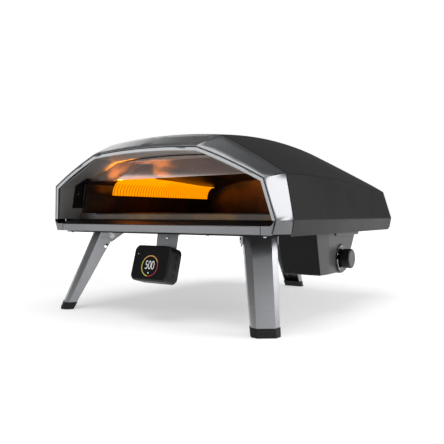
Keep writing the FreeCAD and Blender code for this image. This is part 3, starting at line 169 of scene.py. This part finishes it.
# %% [markdown]
# ## Rim, hanger and legs: anodised aluminium
# Anodising leaves aluminium pale and hard, with the lines of its making still in it.  The rim round the
# mouth and the hub's hanger are brushed from side to side, and the legs and their brackets carry the
# upright lines of the die that they were pressed through.  Lines could be a wave texture, but those come
# out too even.  A noise drawn out along the metal gives lines of uneven length and strength.

# %% Rim, hanger and legs
BRUSHED_ACROSS = (0.08, 1, 1)
DIE_LINES_DOWN = (1, 1, 0.06)
finishes["bright_trim"] = grained(
    "bright brushed anodised aluminium", "#97989a", "#a3a4a6", grain_mm=2.0, bump_mm=0.02, roughness=0.30,
    spread=0.04, stretch=BRUSHED_ACROSS, Metallic=1.0)
finishes["leg_metal"] = grained(
    "satin anodised aluminium extrusion", "#919295", "#9fa0a3", grain_mm=2.2, bump_mm=0.03, roughness=0.34,
    spread=0.05, stretch=DIE_LINES_DOWN, Metallic=1.0)
print("aluminium ready")

# %% [markdown]
# ## Mouth lining, fasteners and gas line
# The mouth lining is steel with a dark oxide, half metal and half mineral to the eye, so its metallic
# value stands between the two.  Screws, leg bolts, the valve's stem, the gas pipe and the burner are
# zinc-plated: bright, faintly cloudy steel.  They are small, so their clouds are small too.

# %% Lining and zinc
finishes["lining_steel"] = grained(
    "dark oxide-coated steel", "#7d7c7a", "#8a8987", grain_mm=2.5, bump_mm=0.03, roughness=0.42,
    Metallic=0.35)
finishes["zinc_steel"] = grained(
    "bright zinc-plated steel", "#b9babc", "#cfd0d2", grain_mm=2.0, bump_mm=0.02, roughness=0.28,
    broad_mm=12.0, Metallic=1.0)
print("lining and zinc ready")

# %% [markdown]
# ## Chamber: heat-tinted aluminised steel
# The chamber's liner and its flame guards have been hot.  They are duller than new aluminised steel, with
# blue-grey, brown and straw tints that come in cloudy patches about as wide as a palm.  Painting them on
# by hand would look painted.  A third noise, bent by some distortion, picks the tint, and a mix lays it
# over the plain metal.

# %% Heat tints
HEAT_CLOUD_MM = 71.4
HEAT_SHARE = 0.55


def heat_tinted(name):
    """Aluminised steel with cloudy blue-grey, brown and straw heat tints."""
    material = grained(name, "#4a4038", "#5d5349", grain_mm=3.0, bump_mm=0.04, roughness=0.34, spread=0.08,
                       Metallic=0.65)
    tree = material.node_tree
    shader = tree.nodes["Principled BSDF"]
    plain = shader.inputs["Base Color"].links[0].from_socket
    place = add(tree, "ShaderNodeTexCoord").outputs["Object"]
    cloud = add(tree, "ShaderNodeTexNoise",
                {"Vector": place, "Scale": noise_scale(HEAT_CLOUD_MM), "Detail": 4.0, "Distortion": 0.6})
    tint = add(tree, "ShaderNodeValToRGB", {"Fac": cloud.outputs["Fac"]})
    blue_stop, straw_stop = tint.color_ramp.elements
    blue_stop.position, blue_stop.color = 0.36, linear("#37404a")
    straw_stop.position, straw_stop.color = 0.68, linear("#7a5a33")
    tint.color_ramp.elements.new(0.5).color = linear("#4e4339")
    mixed = add(tree, "ShaderNodeMix", {"Factor": HEAT_SHARE}, data_type="RGBA")
    tree.links.new(plain, mixed.inputs["A"])
    tree.links.new(tint.outputs["Color"], mixed.inputs["B"])
    tree.links.new(mixed.outputs["Result"], shader.inputs["Base Color"])
    return material


finishes["chamber_steel"] = heat_tinted("heat-tinted aluminised steel")
print("chamber steel ready")

# %% [markdown]
# ## Baking stone and insulation
# Cordierite baking stone is a fired ceramic, slightly speckled with grog and toasted brown by use.  The
# insulation is a blanket of white ceramic fibre, needled into a felt: a deep, coarse bump and a little
# sheen make it look soft, with no need for real fibres on a piece that the casing hides.

# %% Stone and felt
finishes["cordierite"] = grained(
    "fired cordierite stone, toasted", "#4a3d31", "#6e5e4b", grain_mm=3.0, bump_mm=0.12, roughness=0.75,
    spread=0.08, broad_mm=60.0, Specular_IOR_Level=0.3)
finishes["ceramic_fibre"] = grained(
    "needled ceramic fibre felt", "#d9d6d0", "#f0eeea", grain_mm=4.0, bump_mm=0.8, roughness=0.95,
    spread=0.03, Sheen_Weight=0.2)
print("stone and felt ready")

# %% [markdown]
# ## Rubber and plastics
# The feet and the hub's buttons are moulded rubber, matt and nearly black.  The hub, the knob and the
# legs' lock bars are ABS from a spark-eroded mould, which leaves an even fine tooth and a low sheen.  The
# control cover and the knob's insert are satin nylon, a dark grey.  The display window and the dial are
# polished acrylic, almost a black mirror, and only its very broad noise keeps it from being perfect.

# %% Rubber and plastics
finishes["rubber"] = grained(
    "black moulded rubber", "#0c0c0c", "#131313", grain_mm=2.0, bump_mm=0.05, roughness=0.6,
    Specular_IOR_Level=0.35)
finishes["black_abs"] = grained(
    "spark-textured black ABS", "#080809", "#0d0d0e", grain_mm=2.0, bump_mm=0.05, roughness=0.38,
    Specular_IOR_Level=0.3)
finishes["grey_nylon"] = grained(
    "satin dark grey moulded nylon", "#3a3a3b", "#434344", grain_mm=2.0, bump_mm=0.04, roughness=0.40,
    Specular_IOR_Level=0.45)
finishes["gloss_black"] = grained(
    "polished black acrylic", "#050505", "#070707", grain_mm=60.0, bump_mm=0.01, roughness=0.08,
    spread=0.02, Specular_IOR_Level=0.5)
print("rubber and plastics ready")

# %% [markdown]
# ## Brass, porcelain and circuit board
# The gas valve and its inlet are turned brass, the ignition electrode stands in glazed porcelain, and the
# hub's circuit board has the usual green solder mask.  They are small or hidden, so the grained finish
# does for all three.

# %% Brass, porcelain and circuit board
finishes["brass"] = grained(
    "turned brass", "#c4a052", "#d4b267", grain_mm=2.0, bump_mm=0.02, roughness=0.26, spread=0.05,
    broad_mm=15.0, Metallic=1.0)
finishes["porcelain"] = grained(
    "glazed porcelain", "#e6e1d6", "#f2eee4", grain_mm=5.0, bump_mm=0.02, roughness=0.18, spread=0.04)
finishes["circuit_board"] = grained(
    "green solder mask", "#0b3d20", "#12582e", grain_mm=2.5, bump_mm=0.05, roughness=0.35)
print("small fittings ready")

# %% [markdown]
# ## Visor glass
# The pane that closes the top of the mouth is heat-proof borosilicate with a warm-toned reflecting coat,
# like an oven door's.  From outside it looks milky pink-grey, and the flame still glows through it.  Clear
# glass with a second, mirroring pane in front would be truer, but two sheets so close together flicker.
# One pane that is partly metal gives the same look: about half of the light passes, and the metal part
# mirrors the rest in the coat's own tone.

# %% Coated glass
GLASS_CLOUD_MM = 200.0
GLASS_IOR = 1.47
COAT_SHARE = 0.45
visor, tree, shader, place = new_material(
    "borosilicate with warm reflecting coat", Metallic=COAT_SHARE, Roughness=0.05, IOR=GLASS_IOR,
    Transmission_Weight=0.92)
cloud = add(tree, "ShaderNodeTexNoise",
            {"Vector": place, "Scale": noise_scale(GLASS_CLOUD_MM), "Detail": 1.0})
tint = add(tree, "ShaderNodeValToRGB", {"Fac": cloud.outputs["Fac"]})
pink_stop, grey_stop = tint.color_ramp.elements
pink_stop.color = linear("#d2b8ae")
grey_stop.color = linear("#cfc6c2")
tree.links.new(tint.outputs["Color"], shader.inputs["Base Color"])
finishes["visor_glass"] = visor
print("finishes", len(finishes))

# %% [markdown]
# ## Dressing the CAD pieces
# The record says which finish each CAD piece takes, so a loop can assign them.  Doing it by hand for sixty
# pieces would be slow, and a change in the record would be missed.

# %% Assign finishes
for part in frame["record"]["subparts"]:
    obj = nodes[part["node"]]
    obj.data.materials.clear()
    obj.data.materials.append(finishes[part["material_slot"]])
print("dressed", len(nodes), "nodes")

# %% [markdown]
# ## Soft edges
# Real folded and extruded edges are never knife sharp, and it is the thin highlight on them that makes
# metal look real.  The rounding could be cut in CAD, at a cost of many small faces.  A Weld and a Bevel
# modifier add it here without touching the CAD mesh.

# %% Soften edges
WELD_REACH = 0.02 * MM
FOLD_ANGLE = math.radians(25)
EDGE_MM = {"front_rail": 0.8, "front_rim": 0.5, "front_collar": 0.6, "rail_corners": 0.8, "stone_stop": 0.6,
           "leg_front_left": 0.9, "leg_front_right": 0.9, "leg_rear": 0.9, "leg_brackets": 0.5,
           "hub_bracket": 0.5, "porch_plate": 0.5}


def soften(name, width_mm):
    """Rounds the folded edges of a CAD piece."""
    obj = nodes[name]
    weld = obj.modifiers.new("weld seams", "WELD")
    weld.merge_threshold = WELD_REACH
    bevel = obj.modifiers.new("soft edges", "BEVEL")
    bevel.width = width_mm * MM
    bevel.segments = 2
    bevel.limit_method = "ANGLE"
    bevel.angle_limit = FOLD_ANGLE
    bevel.use_clamp_overlap = True
    bevel.harden_normals = True


for name, width_mm in EDGE_MM.items():
    soften(name, width_mm)
print("softened", len(EDGE_MM))

# %% [markdown]
# ## Finishing a new piece
# Each new mesh ends the same way: it becomes an object at the origin, takes its material, and rides on the
# CAD body that it is fixed to.

# %% Finish a mesh
def keep(name, bm, material, body="root", smooth=False):
    """Turns a bmesh into an object that rides on a body."""
    bmesh.ops.recalc_face_normals(bm, faces=bm.faces)
    mesh = bpy.data.meshes.new(name)
    bm.to_mesh(mesh)
    bm.free()
    mesh.polygons.foreach_set("use_smooth", [smooth] * len(mesh.polygons))
    mesh.materials.append(material)
    obj = bpy.data.objects.new(name, mesh)
    bpy.context.scene.collection.objects.link(obj)
    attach(obj, body)
    print("made", name, len(mesh.polygons), "faces")
    return obj


# %% [markdown]
# ## The flame curtain
# Gas leaves the burner through a row of ports, and each port's flame climbs the left wall and rolls over
# towards the middle under the roof.  Side by side they make one ribbed curtain.  It could be smoke and
# fire from a simulation, which is slow and leaves no mesh.  A shaped sheet shows the same at this
# distance: a point is spun through a little more than a quarter turn for the curl, and that line is pulled
# backwards along the burner, row after row.

# %% Place of the flame
guard_low, guard_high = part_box("flame_guard_left")
FLAME_FOOT_X = guard_high.x + 1 * MM
FLAME_FOOT_Z = guard_high.z - 3 * MM
FLAME_FRONT = guard_low.y + 88 * MM
FLAME_BACK = guard_high.y - 30 * MM
FLAME_LENGTH = FLAME_BACK - FLAME_FRONT
PORT_PITCH = 12 * MM
print("flame", round(FLAME_LENGTH, 3), "m long with", round(FLAME_LENGTH / PORT_PITCH), "ribs")

# %% Curled line pulled into a sheet
CURL_R = 38 * MM
CURL_TURN = math.radians(98)
CURL_STEPS = 14
MERGE_REACH = 0.01 * MM
ROWS = 160
ROW_STEP = FLAME_LENGTH / ROWS

bm = bmesh.new()
foot = bm.verts.new((FLAME_FOOT_X, FLAME_FRONT, FLAME_FOOT_Z))
centre = foot.co + Vector((CURL_R, 0, 0))
bmesh.ops.spin(bm, geom=[foot], cent=centre, axis=(0, 1, 0), angle=CURL_TURN, steps=CURL_STEPS,
               use_duplicate=False)
bmesh.ops.remove_doubles(bm, verts=bm.verts, dist=MERGE_REACH)
curl = list(bm.edges)
for row in range(ROWS):
    pulled = bmesh.ops.extrude_edge_only(bm, edges=curl)["geom"]
    edges = [g for g in pulled if isinstance(g, bmesh.types.BMEdge)]
    curl = [e for e in edges if abs(e.verts[0].co.y - e.verts[1].co.y) < ROW_STEP / 2]
    verts = [g for g in pulled if isinstance(g, bmesh.types.BMVert)]
    bmesh.ops.translate(bm, vec=(0, ROW_STEP, 0), verts=verts)
print("flame sheet", len(bm.faces), "faces")

# %% [markdown]
# The sheet is then stretched to the flame's real outline, which is tallest and reaches furthest just
# behind its front end.  Sculpting would do it too, but a height and a reach at five places are easier to
# change.  A little wave at the ports' pitch makes the ribs.

# %% Outline and ribs
# Place along the curtain, its height there and its reach towards the middle of the oven.
FLAME_SHAPE = ((0.0, 0.044, 0.038), (0.07, 0.056, 0.068), (0.20, 0.056, 0.068), (0.30, 0.051, 0.042),
               (1.0, 0.041, 0.029))
RIB_SHARE = 0.02


def curtain_size(along):
    """Height and reach of the curtain, on a smooth curve through the places where they are given."""
    for (a, *low), (b, *high) in zip(FLAME_SHAPE[:-1], FLAME_SHAPE[1:]):
        if along <= b:
            share = (along - a) / (b - a)
            ease = share * share * (3 - 2 * share)
            return [p + (q - p) * ease for p, q in zip(low, high)]


for vert in bm.verts:
    along = (vert.co.y - FLAME_FRONT) / FLAME_LENGTH
    height, reach = curtain_size(min(along, 1.0))
    rib = 1.0 + RIB_SHARE * math.sin(2 * math.pi * vert.co.y / PORT_PITCH)
    vert.co.z = FLAME_FOOT_Z + (vert.co.z - FLAME_FOOT_Z) / CURL_R * height * rib
    vert.co.x = FLAME_FOOT_X + (vert.co.x - FLAME_FOOT_X) / CURL_R * reach * rib
print("flame top", round(max(v.co.z for v in bm.verts), 3))

# %% [markdown]
# Flame is light, so its material is mostly emission: strong orange, with a thin darker line where one
# port's flame meets the next.  A sine wave along the burner draws the lines.  Its scale comes from the
# ports' pitch, because at a scale of 1 this texture runs through 20 / (2 pi) waves in a metre.  The sheet
# is thickened at the end, because a sheet without thickness has no inside.

# %% Flame material and piece
WAVES_PER_SCALE = 20 / (2 * math.pi)
FLAME_THICK = 1.2 * MM
flame, tree, shader, place = new_material(
    "burning gas", Roughness=1.0, Specular_IOR_Level=0.0, Emission_Strength=1.3)
shader.inputs["Base Color"].default_value = linear("#3a1400")
wave = add(tree, "ShaderNodeTexWave", {"Vector": place, "Scale": 1 / (WAVES_PER_SCALE * PORT_PITCH)},
           bands_direction="Y", wave_profile="SIN")
ramp = add(tree, "ShaderNodeValToRGB", {"Fac": wave.outputs["Fac"]})
gap_stop, fire_stop = ramp.color_ramp.elements
gap_stop.position, gap_stop.color = 0.05, linear("#b35600")
fire_stop.position, fire_stop.color = 0.45, linear("#ff9600")
tree.links.new(ramp.outputs["Color"], shader.inputs["Emission Color"])
curtain = keep("flame_curtain", bm, flame, smooth=True)
curtain.modifiers.new("flame thickness", "SOLIDIFY").thickness = FLAME_THICK

# %% [markdown]
# ## Flat prints
# The hub's display and the dial are marked with arcs, dots and figures.  An image on the surface would
# blur in a close view, so each mark is a thin piece of its own, a tenth of a millimetre proud of what it
# is printed on.  An arc is a short radial line spun round the centre, and a dot is a filled circle.

# %% Print helpers
PRINT_LIFT = 0.12 * MM
PRINT_THICK = 0.1 * MM


def print_on(name, bm, plane, x, y, material):
    """Lays a flat mesh on a plane, with the mesh's own zero at x, y, and gives it the thickness of ink."""
    bmesh.ops.translate(bm, vec=(x, y, PRINT_LIFT), verts=bm.verts)
    bmesh.ops.transform(bm, matrix=plane, verts=bm.verts)
    printed = keep(name, bm, material)
    printed.modifiers.new("print thickness", "SOLIDIFY").thickness = PRINT_THICK


def arc_print(name, plane, radius, width, start, end, material, steps=24, taper=0.0):
    """An arc from start to end degrees, counted anticlockwise from the plane's right."""
    bm = bmesh.new()
    inner = bm.verts.new((radius - width / 2, 0, 0))
    outer = bm.verts.new((radius + width / 2, 0, 0))
    line = bm.edges.new((inner, outer))
    bmesh.ops.rotate(bm, verts=[inner, outer], cent=(0, 0, 0),
                     matrix=Matrix.Rotation(math.radians(start), 3, "Z"))
    bmesh.ops.spin(bm, geom=[inner, outer, line], cent=(0, 0, 0), axis=(0, 0, 1),
                   angle=math.radians(end - start), steps=steps, use_duplicate=False)
    bmesh.ops.remove_doubles(bm, verts=bm.verts, dist=MERGE_REACH)
    if taper:
        # The arc grows thinner towards its end.
        for vert in bm.verts:
            share = (math.degrees(math.atan2(vert.co.y, vert.co.x)) % 360 - start) / (end - start)
            reach = vert.co.xy.length
            vert.co.xy *= (radius + (reach - radius) * (1 - taper * share)) / reach
    print_on(name, bm, plane, 0, 0, material)


def dot_print(name, plane, x, y, radius, material):
    """A filled circle."""
    bm = bmesh.new()
    bmesh.ops.create_circle(bm, cap_ends=True, radius=radius, segments=24)
    print_on(name, bm, plane, x, y, material)


print("print helpers ready")

# %% [markdown]
# ## The thermometer hub's display
# The hub's face is a black window.  Behind it glow a coloured ring, the temperature and a small symbol.
# They are drawn on the face's own plane, which leans back 16 degrees.

# %% Plane of the hub's face
HUB_TILT = math.radians(16)
glass = nodes["hub_face_glass"].data.vertices
facing = Vector((0, -math.cos(HUB_TILT), math.sin(HUB_TILT)))
up_face = Vector((0, math.sin(HUB_TILT), math.cos(HUB_TILT)))
front = max(v.co.dot(facing) for v in glass)
heights = [v.co.dot(up_face) for v in glass]
face_centre = facing * front + up_face * ((max(heights) + min(heights)) / 2)
face_centre.x = sum(v.co.x for v in glass) / len(glass)
HUB_PLANE = Matrix((Vector((1, 0, 0)), up_face, facing)).transposed().to_4x4()
HUB_PLANE.translation = face_centre
print("hub face centre", [round(v, 4) for v in face_centre])

# %% [markdown]
# The lit marks are emission, like a real display, so that they don't fade when the hub is in shade.  A
# fine noise makes them a little uneven, as dots of light behind a window are.  Real dots are a tenth of a
# millimetre, and these are drawn ten times as coarse.

# %% Glowing marks
DOT_MM = 1.11
DIM_SHARE = 0.8


def glowing(name, hex_code, strength):
    """A lit mark whose brightness varies a little from dot to dot."""
    material, tree, shader, place = new_material(name, Roughness=0.4, Emission_Strength=strength)
    shader.inputs["Base Color"].default_value = linear("#101010")
    speck = add(tree, "ShaderNodeTexNoise", {"Vector": place, "Scale": noise_scale(DOT_MM)})
    ramp = add(tree, "ShaderNodeValToRGB", {"Fac": speck.outputs["Fac"]})
    dim_stop, bright_stop = ramp.color_ramp.elements
    bright = linear(hex_code)
    dim_stop.color = (*[c * DIM_SHARE for c in bright[:3]], 1.0)
    bright_stop.color = bright
    tree.links.new(ramp.outputs["Color"], shader.inputs["Emission Color"])
    return material


white_glow = glowing("display figures, warm white", "#f2f0ee", 1.0)
print("display light ready")

# %% [markdown]
# The ring is a scale from cool to hot.  It is made from four arcs, so that each can have its own colour.
# Its centre is below the middle of the face.

# %% Ring, symbol and link light
RING_DROP = 7.0 * MM
RING_R, RING_WIDTH = 23.8 * MM, 2.1 * MM
SYMBOL_X, SYMBOL_Y, SYMBOL_R = -1.0 * MM, -16.5 * MM, 1.7 * MM
LINK_X, LINK_Y, LINK_R = -41.0 * MM, 20.0 * MM, 0.9 * MM
# Colour, and the degrees at which the arc starts and ends.
RING_ARCS = {"lemon": ("#c9c552", 150, 262), "apricot": ("#d9a05a", 25, 150), "rose": ("#a8324f", -40, 25),
             "crimson": ("#a01c3c", -98, -40)}
ring_plane = HUB_PLANE @ Matrix.Translation((0, -RING_DROP, 0))
for tone, (hex_code, start, end) in RING_ARCS.items():
    arc_print("display_ring_" + tone, ring_plane, RING_R, RING_WIDTH, start, end,
              glowing("display ring, " + tone, hex_code, 0.9))
dot_print("display_heat_symbol", ring_plane, SYMBOL_X, SYMBOL_Y, SYMBOL_R, white_glow)
dot_print("display_link_light", HUB_PLANE, LINK_X, LINK_Y, LINK_R, white_glow)

# %% [markdown]
# The reading is set in type, turned into a mesh, and only then put in its place, so that its object stays
# unturned at the origin.  The display's figures are narrower and taller than the built-in typeface's, so
# the mesh is scaled to suit.

# %% Reading on the display
FIGURE_SIZE = 26.2 * MM
FIGURE_THINNED = -0.35 * MM
FIGURE_SPACING = 0.92
FIGURE_STRETCH = (0.78, 1.12, 1.0)
FIGURE_RAISE = 1.0 * MM
text = bpy.data.curves.new("display_reading", "FONT")
text.body = "500"
text.size = FIGURE_SIZE
text.offset = FIGURE_THINNED
text.align_x, text.align_y = "CENTER", "CENTER"
text.space_character = FIGURE_SPACING
typed = bpy.data.objects.new("typed", text)
bpy.context.scene.collection.objects.link(typed)
bpy.context.view_layer.update()
letters = bpy.data.meshes.new_from_object(typed)
bpy.data.objects.remove(typed)
bm = bmesh.new()
bm.from_mesh(letters)
bmesh.ops.scale(bm, vec=FIGURE_STRETCH, verts=bm.verts)
print_on("display_reading", bm, ring_plane, 0, FIGURE_RAISE, white_glow)

# %% [markdown]
# ## The gas dial
# The dial plate behind the knob is polished black with printed white marks: a tick at the top for off, a
# dot for ignition, and a tapering arc from high to low flame.  The plate faces +X, so the marks are drawn
# on a plane whose right is towards the back of the oven.

# %% Dial marks
DIAL_MARK_R = 31.5 * MM
FLAME_ARC_WIDTH, FLAME_ARC_FROM, FLAME_ARC_TO = 3.4 * MM, 182, 246
FLAME_ARC_TAPER = 0.7
TICK_R, TICK_LENGTH, TICK_FROM, TICK_TO = DIAL_MARK_R - 0.5 * MM, 5.0 * MM, 93, 99
SPARK_AT = math.radians(158)
SPARK_R = 1.7 * MM
dial_low, dial_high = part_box("dial_plate")
dial_y, dial_z = (dial_low.y + dial_high.y) / 2, (dial_low.z + dial_high.z) / 2
DIAL_PLANE = Matrix(((0, 0, 1, dial_high.x), (1, 0, 0, dial_y), (0, 1, 0, dial_z), (0, 0, 0, 1)))
white_ink = grained("white pad-printed ink", "#dcdcda", "#efefed", grain_mm=2.0, bump_mm=0.01, roughness=0.5)
arc_print("dial_flame_arc", DIAL_PLANE, DIAL_MARK_R, FLAME_ARC_WIDTH, FLAME_ARC_FROM, FLAME_ARC_TO, white_ink,
          taper=FLAME_ARC_TAPER)
arc_print("dial_off_tick", DIAL_PLANE, TICK_R, TICK_LENGTH, TICK_FROM, TICK_TO, white_ink, steps=4)
dot_print("dial_spark_dot", DIAL_PLANE, DIAL_MARK_R * math.cos(SPARK_AT), DIAL_MARK_R * math.sin(SPARK_AT),
          SPARK_R, white_ink)

# %% [markdown]
# ## Insert of the knob
# The knob has a satin grey insert in its face.  It could be a squashed cylinder, but its rim would be
# sharp.  A circle is pushed up into a shallow disc and its upper rim is bevelled.  The screw further on
# starts the same way, so the disc is a function.

# %% Knob insert
INSERT_R, INSERT_RISE, INSERT_EDGE = 21.5 * MM, 0.8 * MM, 0.4 * MM


def raised_disc(radius, rise, edge, segments):
    """A disc standing on the plane z = 0, with its upper rim bevelled."""
    bm = bmesh.new()
    bmesh.ops.create_circle(bm, cap_ends=True, radius=radius, segments=segments)
    raised = bmesh.ops.extrude_face_region(bm, geom=list(bm.faces))["geom"]
    bmesh.ops.translate(bm, vec=(0, 0, rise), verts=[g for g in raised if isinstance(g, bmesh.types.BMVert)])
    rim = [e for e in bm.edges if all(v.co.z > rise / 2 for v in e.verts)]
    bmesh.ops.bevel(bm, geom=rim, offset=edge, affect="EDGES", segments=2, profile=0.5, material=-1)
    return bm


knob_low, knob_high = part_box("control_knob")
KNOB_PLANE = DIAL_PLANE.copy()
KNOB_PLANE.translation = (knob_high.x, (knob_low.y + knob_high.y) / 2, (knob_low.z + knob_high.z) / 2)
bm = raised_disc(INSERT_R, INSERT_RISE, INSERT_EDGE, 64)
bmesh.ops.transform(bm, matrix=KNOB_PLANE, verts=bm.verts)
keep("knob_insert", bm, finishes["grey_nylon"], "knob")

# %% [markdown]
# ## Screw on the hub's hanger
# One pan-head screw holds the hanging strap where it meets the rail.  Its head is a turned disc with a
# round recess for the driver: the top face is inset and pushed in.  A boolean cut would do the same with
# less tidy faces.

# %% Hanger screw
HEAD_R, HEAD_RISE, HEAD_EDGE = 4.2 * MM, 2.4 * MM, 0.6 * MM
RECESS_INSET, RECESS_DEPTH = 1.6 * MM, 1.4 * MM
SCREW_DROP = 12.0 * MM
SCREW_PROUD = 1.2 * MM
STRAP_TOP_BAND = 4.0 * MM
strap_low, strap_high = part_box("hub_bracket")
strap_top = [v.co for v in nodes["hub_bracket"].data.vertices if v.co.z > strap_high.z - STRAP_TOP_BAND]
screw_x = (strap_low.x + strap_high.x) / 2
screw_y = min(co.y for co in strap_top) - SCREW_PROUD
screw_z = strap_high.z - SCREW_DROP
SCREW_PLANE = Matrix(((1, 0, 0, screw_x), (0, 0, -1, screw_y), (0, 1, 0, screw_z), (0, 0, 0, 1)))
bm = raised_disc(HEAD_R, HEAD_RISE, HEAD_EDGE, 24)
crown = max(bm.faces, key=lambda f: f.calc_center_median().z)
bmesh.ops.inset_region(bm, faces=[crown], thickness=RECESS_INSET)
bmesh.ops.translate(bm, vec=(0, 0, -RECESS_DEPTH), verts=list(crown.verts))
bmesh.ops.transform(bm, matrix=SCREW_PLANE, verts=bm.verts)
keep("hub_hanger_screw", bm, finishes["zinc_steel"], "root")

# %% [markdown]
# ## Camera, floor and lights
# The camera stands at the front right, just above the oven's middle height, and looks almost level.  A
# longish lens keeps the near leg from growing too large.

# %% Camera
CAMERA_PLACE = (0.8407, -1.3058, 0.2494)
CAMERA_HEADING = math.radians(34.227)
CAMERA_DIP = math.radians(0.854)
camera_data = bpy.data.cameras.new("camera")
camera_data.sensor_width = 36.0
camera_data.lens = 43.48
camera = bpy.data.objects.new("camera", camera_data)
camera.location = CAMERA_PLACE
camera.rotation_euler = (math.radians(90) - CAMERA_DIP, 0, CAMERA_HEADING)
bpy.context.scene.collection.objects.link(camera)
bpy.context.scene.camera = camera
print("camera", CAMERA_PLACE)

# %% [markdown]
# The floor is a wide pale sheet.  It glows weakly under the oven and fully further out, so that it fades
# into the backdrop with no line.  A curved backdrop would hide the line too, but only from one side.

# %% Floor
FLOOR_HALF = 40.0
FLOOR_DROP = 0.5 * MM
FLOOR_GREY = (0.62, 0.62, 0.62, 1)
WHITE = (1, 1, 1, 1)
FADE_START, FADE_END = 0.7, 2.0
FLOOR_NEAR, FLOOR_FAR = 0.50, 1.0
bm = bmesh.new()
bmesh.ops.create_grid(bm, x_segments=1, y_segments=1, size=FLOOR_HALF)
bmesh.ops.translate(bm, vec=(0, 0, -FLOOR_DROP), verts=bm.verts)
floor_material, tree, shader, place = new_material("pale studio floor", Roughness=0.9, Specular_IOR_Level=0.0)
shader.inputs["Base Color"].default_value = FLOOR_GREY
shader.inputs["Emission Color"].default_value = WHITE
away = add(tree, "ShaderNodeVectorMath", {"Vector": place}, operation="LENGTH")
glow = add(tree, "ShaderNodeMapRange",
           {"Value": away.outputs["Value"], "From Min": FADE_START, "From Max": FADE_END,
            "To Min": FLOOR_NEAR, "To Max": FLOOR_FAR}, interpolation_type="SMOOTHSTEP")
tree.links.new(glow.outputs["Result"], shader.inputs["Emission Strength"])
mesh = bpy.data.meshes.new("studio_floor")
bm.to_mesh(mesh)
bm.free()
mesh.materials.append(floor_material)
floor = bpy.data.objects.new("studio_floor", mesh)
bpy.context.scene.collection.objects.link(floor)
print("floor", FLOOR_HALF * 2, "m wide")

# %% [markdown]
# The room is white where it is looked at and dim where the oven mirrors it, which is what black flags
# round a product table do: without them every dark panel would turn grey.

# %% Backdrop
ROOM_GREY = (0.20, 0.20, 0.20, 1)
world = bpy.data.worlds.new("studio")
bpy.context.scene.world = world
world.use_nodes = True
tree = world.node_tree
room = tree.nodes["Background"]
room.inputs["Color"].default_value = ROOM_GREY
backdrop = add(tree, "ShaderNodeBackground", {"Color": WHITE, "Strength": 1.0})
seen = add(tree, "ShaderNodeLightPath")
blend = add(tree, "ShaderNodeMixShader", {"Fac": seen.outputs["Is Camera Ray"]})
tree.links.new(room.outputs["Background"], blend.inputs[1])
tree.links.new(backdrop.outputs["Background"], blend.inputs[2])
tree.links.new(blend.outputs["Shader"], tree.nodes["World Output"].inputs["Surface"])
bpy.context.scene.view_settings.view_transform = "Standard"
print("backdrop ready")

# %% [markdown]
# Softboxes stand where each facet of the collar can mirror them: one at the right and behind for the
# bright side facet, one at the left and behind for the roof facet, and a big one overhead.  Two weak ones
# in front lift the rim, the rail and the legs.  The last is a narrow warm one above the flame, which
# throws its glow on the chamber's roof.  It is hidden from view, because only its light is wanted.

# %% Softboxes
def softbox(name, place, aim, width, height, watts, hex_code="#ffffff"):
    """A rectangular lamp that stands at a place and faces its aim."""
    light = bpy.data.lights.new(name, "AREA")
    light.shape = "RECTANGLE"
    light.size, light.size_y = width, height
    light.energy = watts
    light.color = linear(hex_code)[:3]
    obj = bpy.data.objects.new(name, light)
    obj.location = place
    obj.rotation_euler = (Vector(aim) - Vector(place)).to_track_quat("-Z", "Y").to_euler()
    bpy.context.scene.collection.objects.link(obj)
    return obj


softbox("softbox_right", (2.5, 0.85, 1.05), aim=(0.3, -0.2, 0.28), width=1.5, height=1.5, watts=42)
softbox("softbox_left", (-2.4, 1.9, 1.55), aim=(0, -0.3, 0.4), width=1.4, height=1.0, watts=7)
softbox("softbox_top", (0.0, -0.6, 2.8), aim=(0, 0, 0.2), width=2.4, height=2.4, watts=60)
softbox("softbox_front_left", (-1.8, -2.7, 0.16), aim=(0, -0.2, 0.3), width=1.9, height=0.8, watts=6.5)
softbox("softbox_front_right", (2.2, -1.6, 1.3), aim=(0, -0.2, 0.3), width=1.0, height=1.0, watts=6)
fire_glow = softbox("fire_glow", (-0.245, -0.12, 0.333), aim=(-0.235, -0.12, 0.42), width=0.24, height=0.04,
                    watts=1.3, hex_code="#ff9a30")
fire_glow.visible_camera = False
fire_glow.visible_transmission = False
print("lights", len(bpy.data.lights))
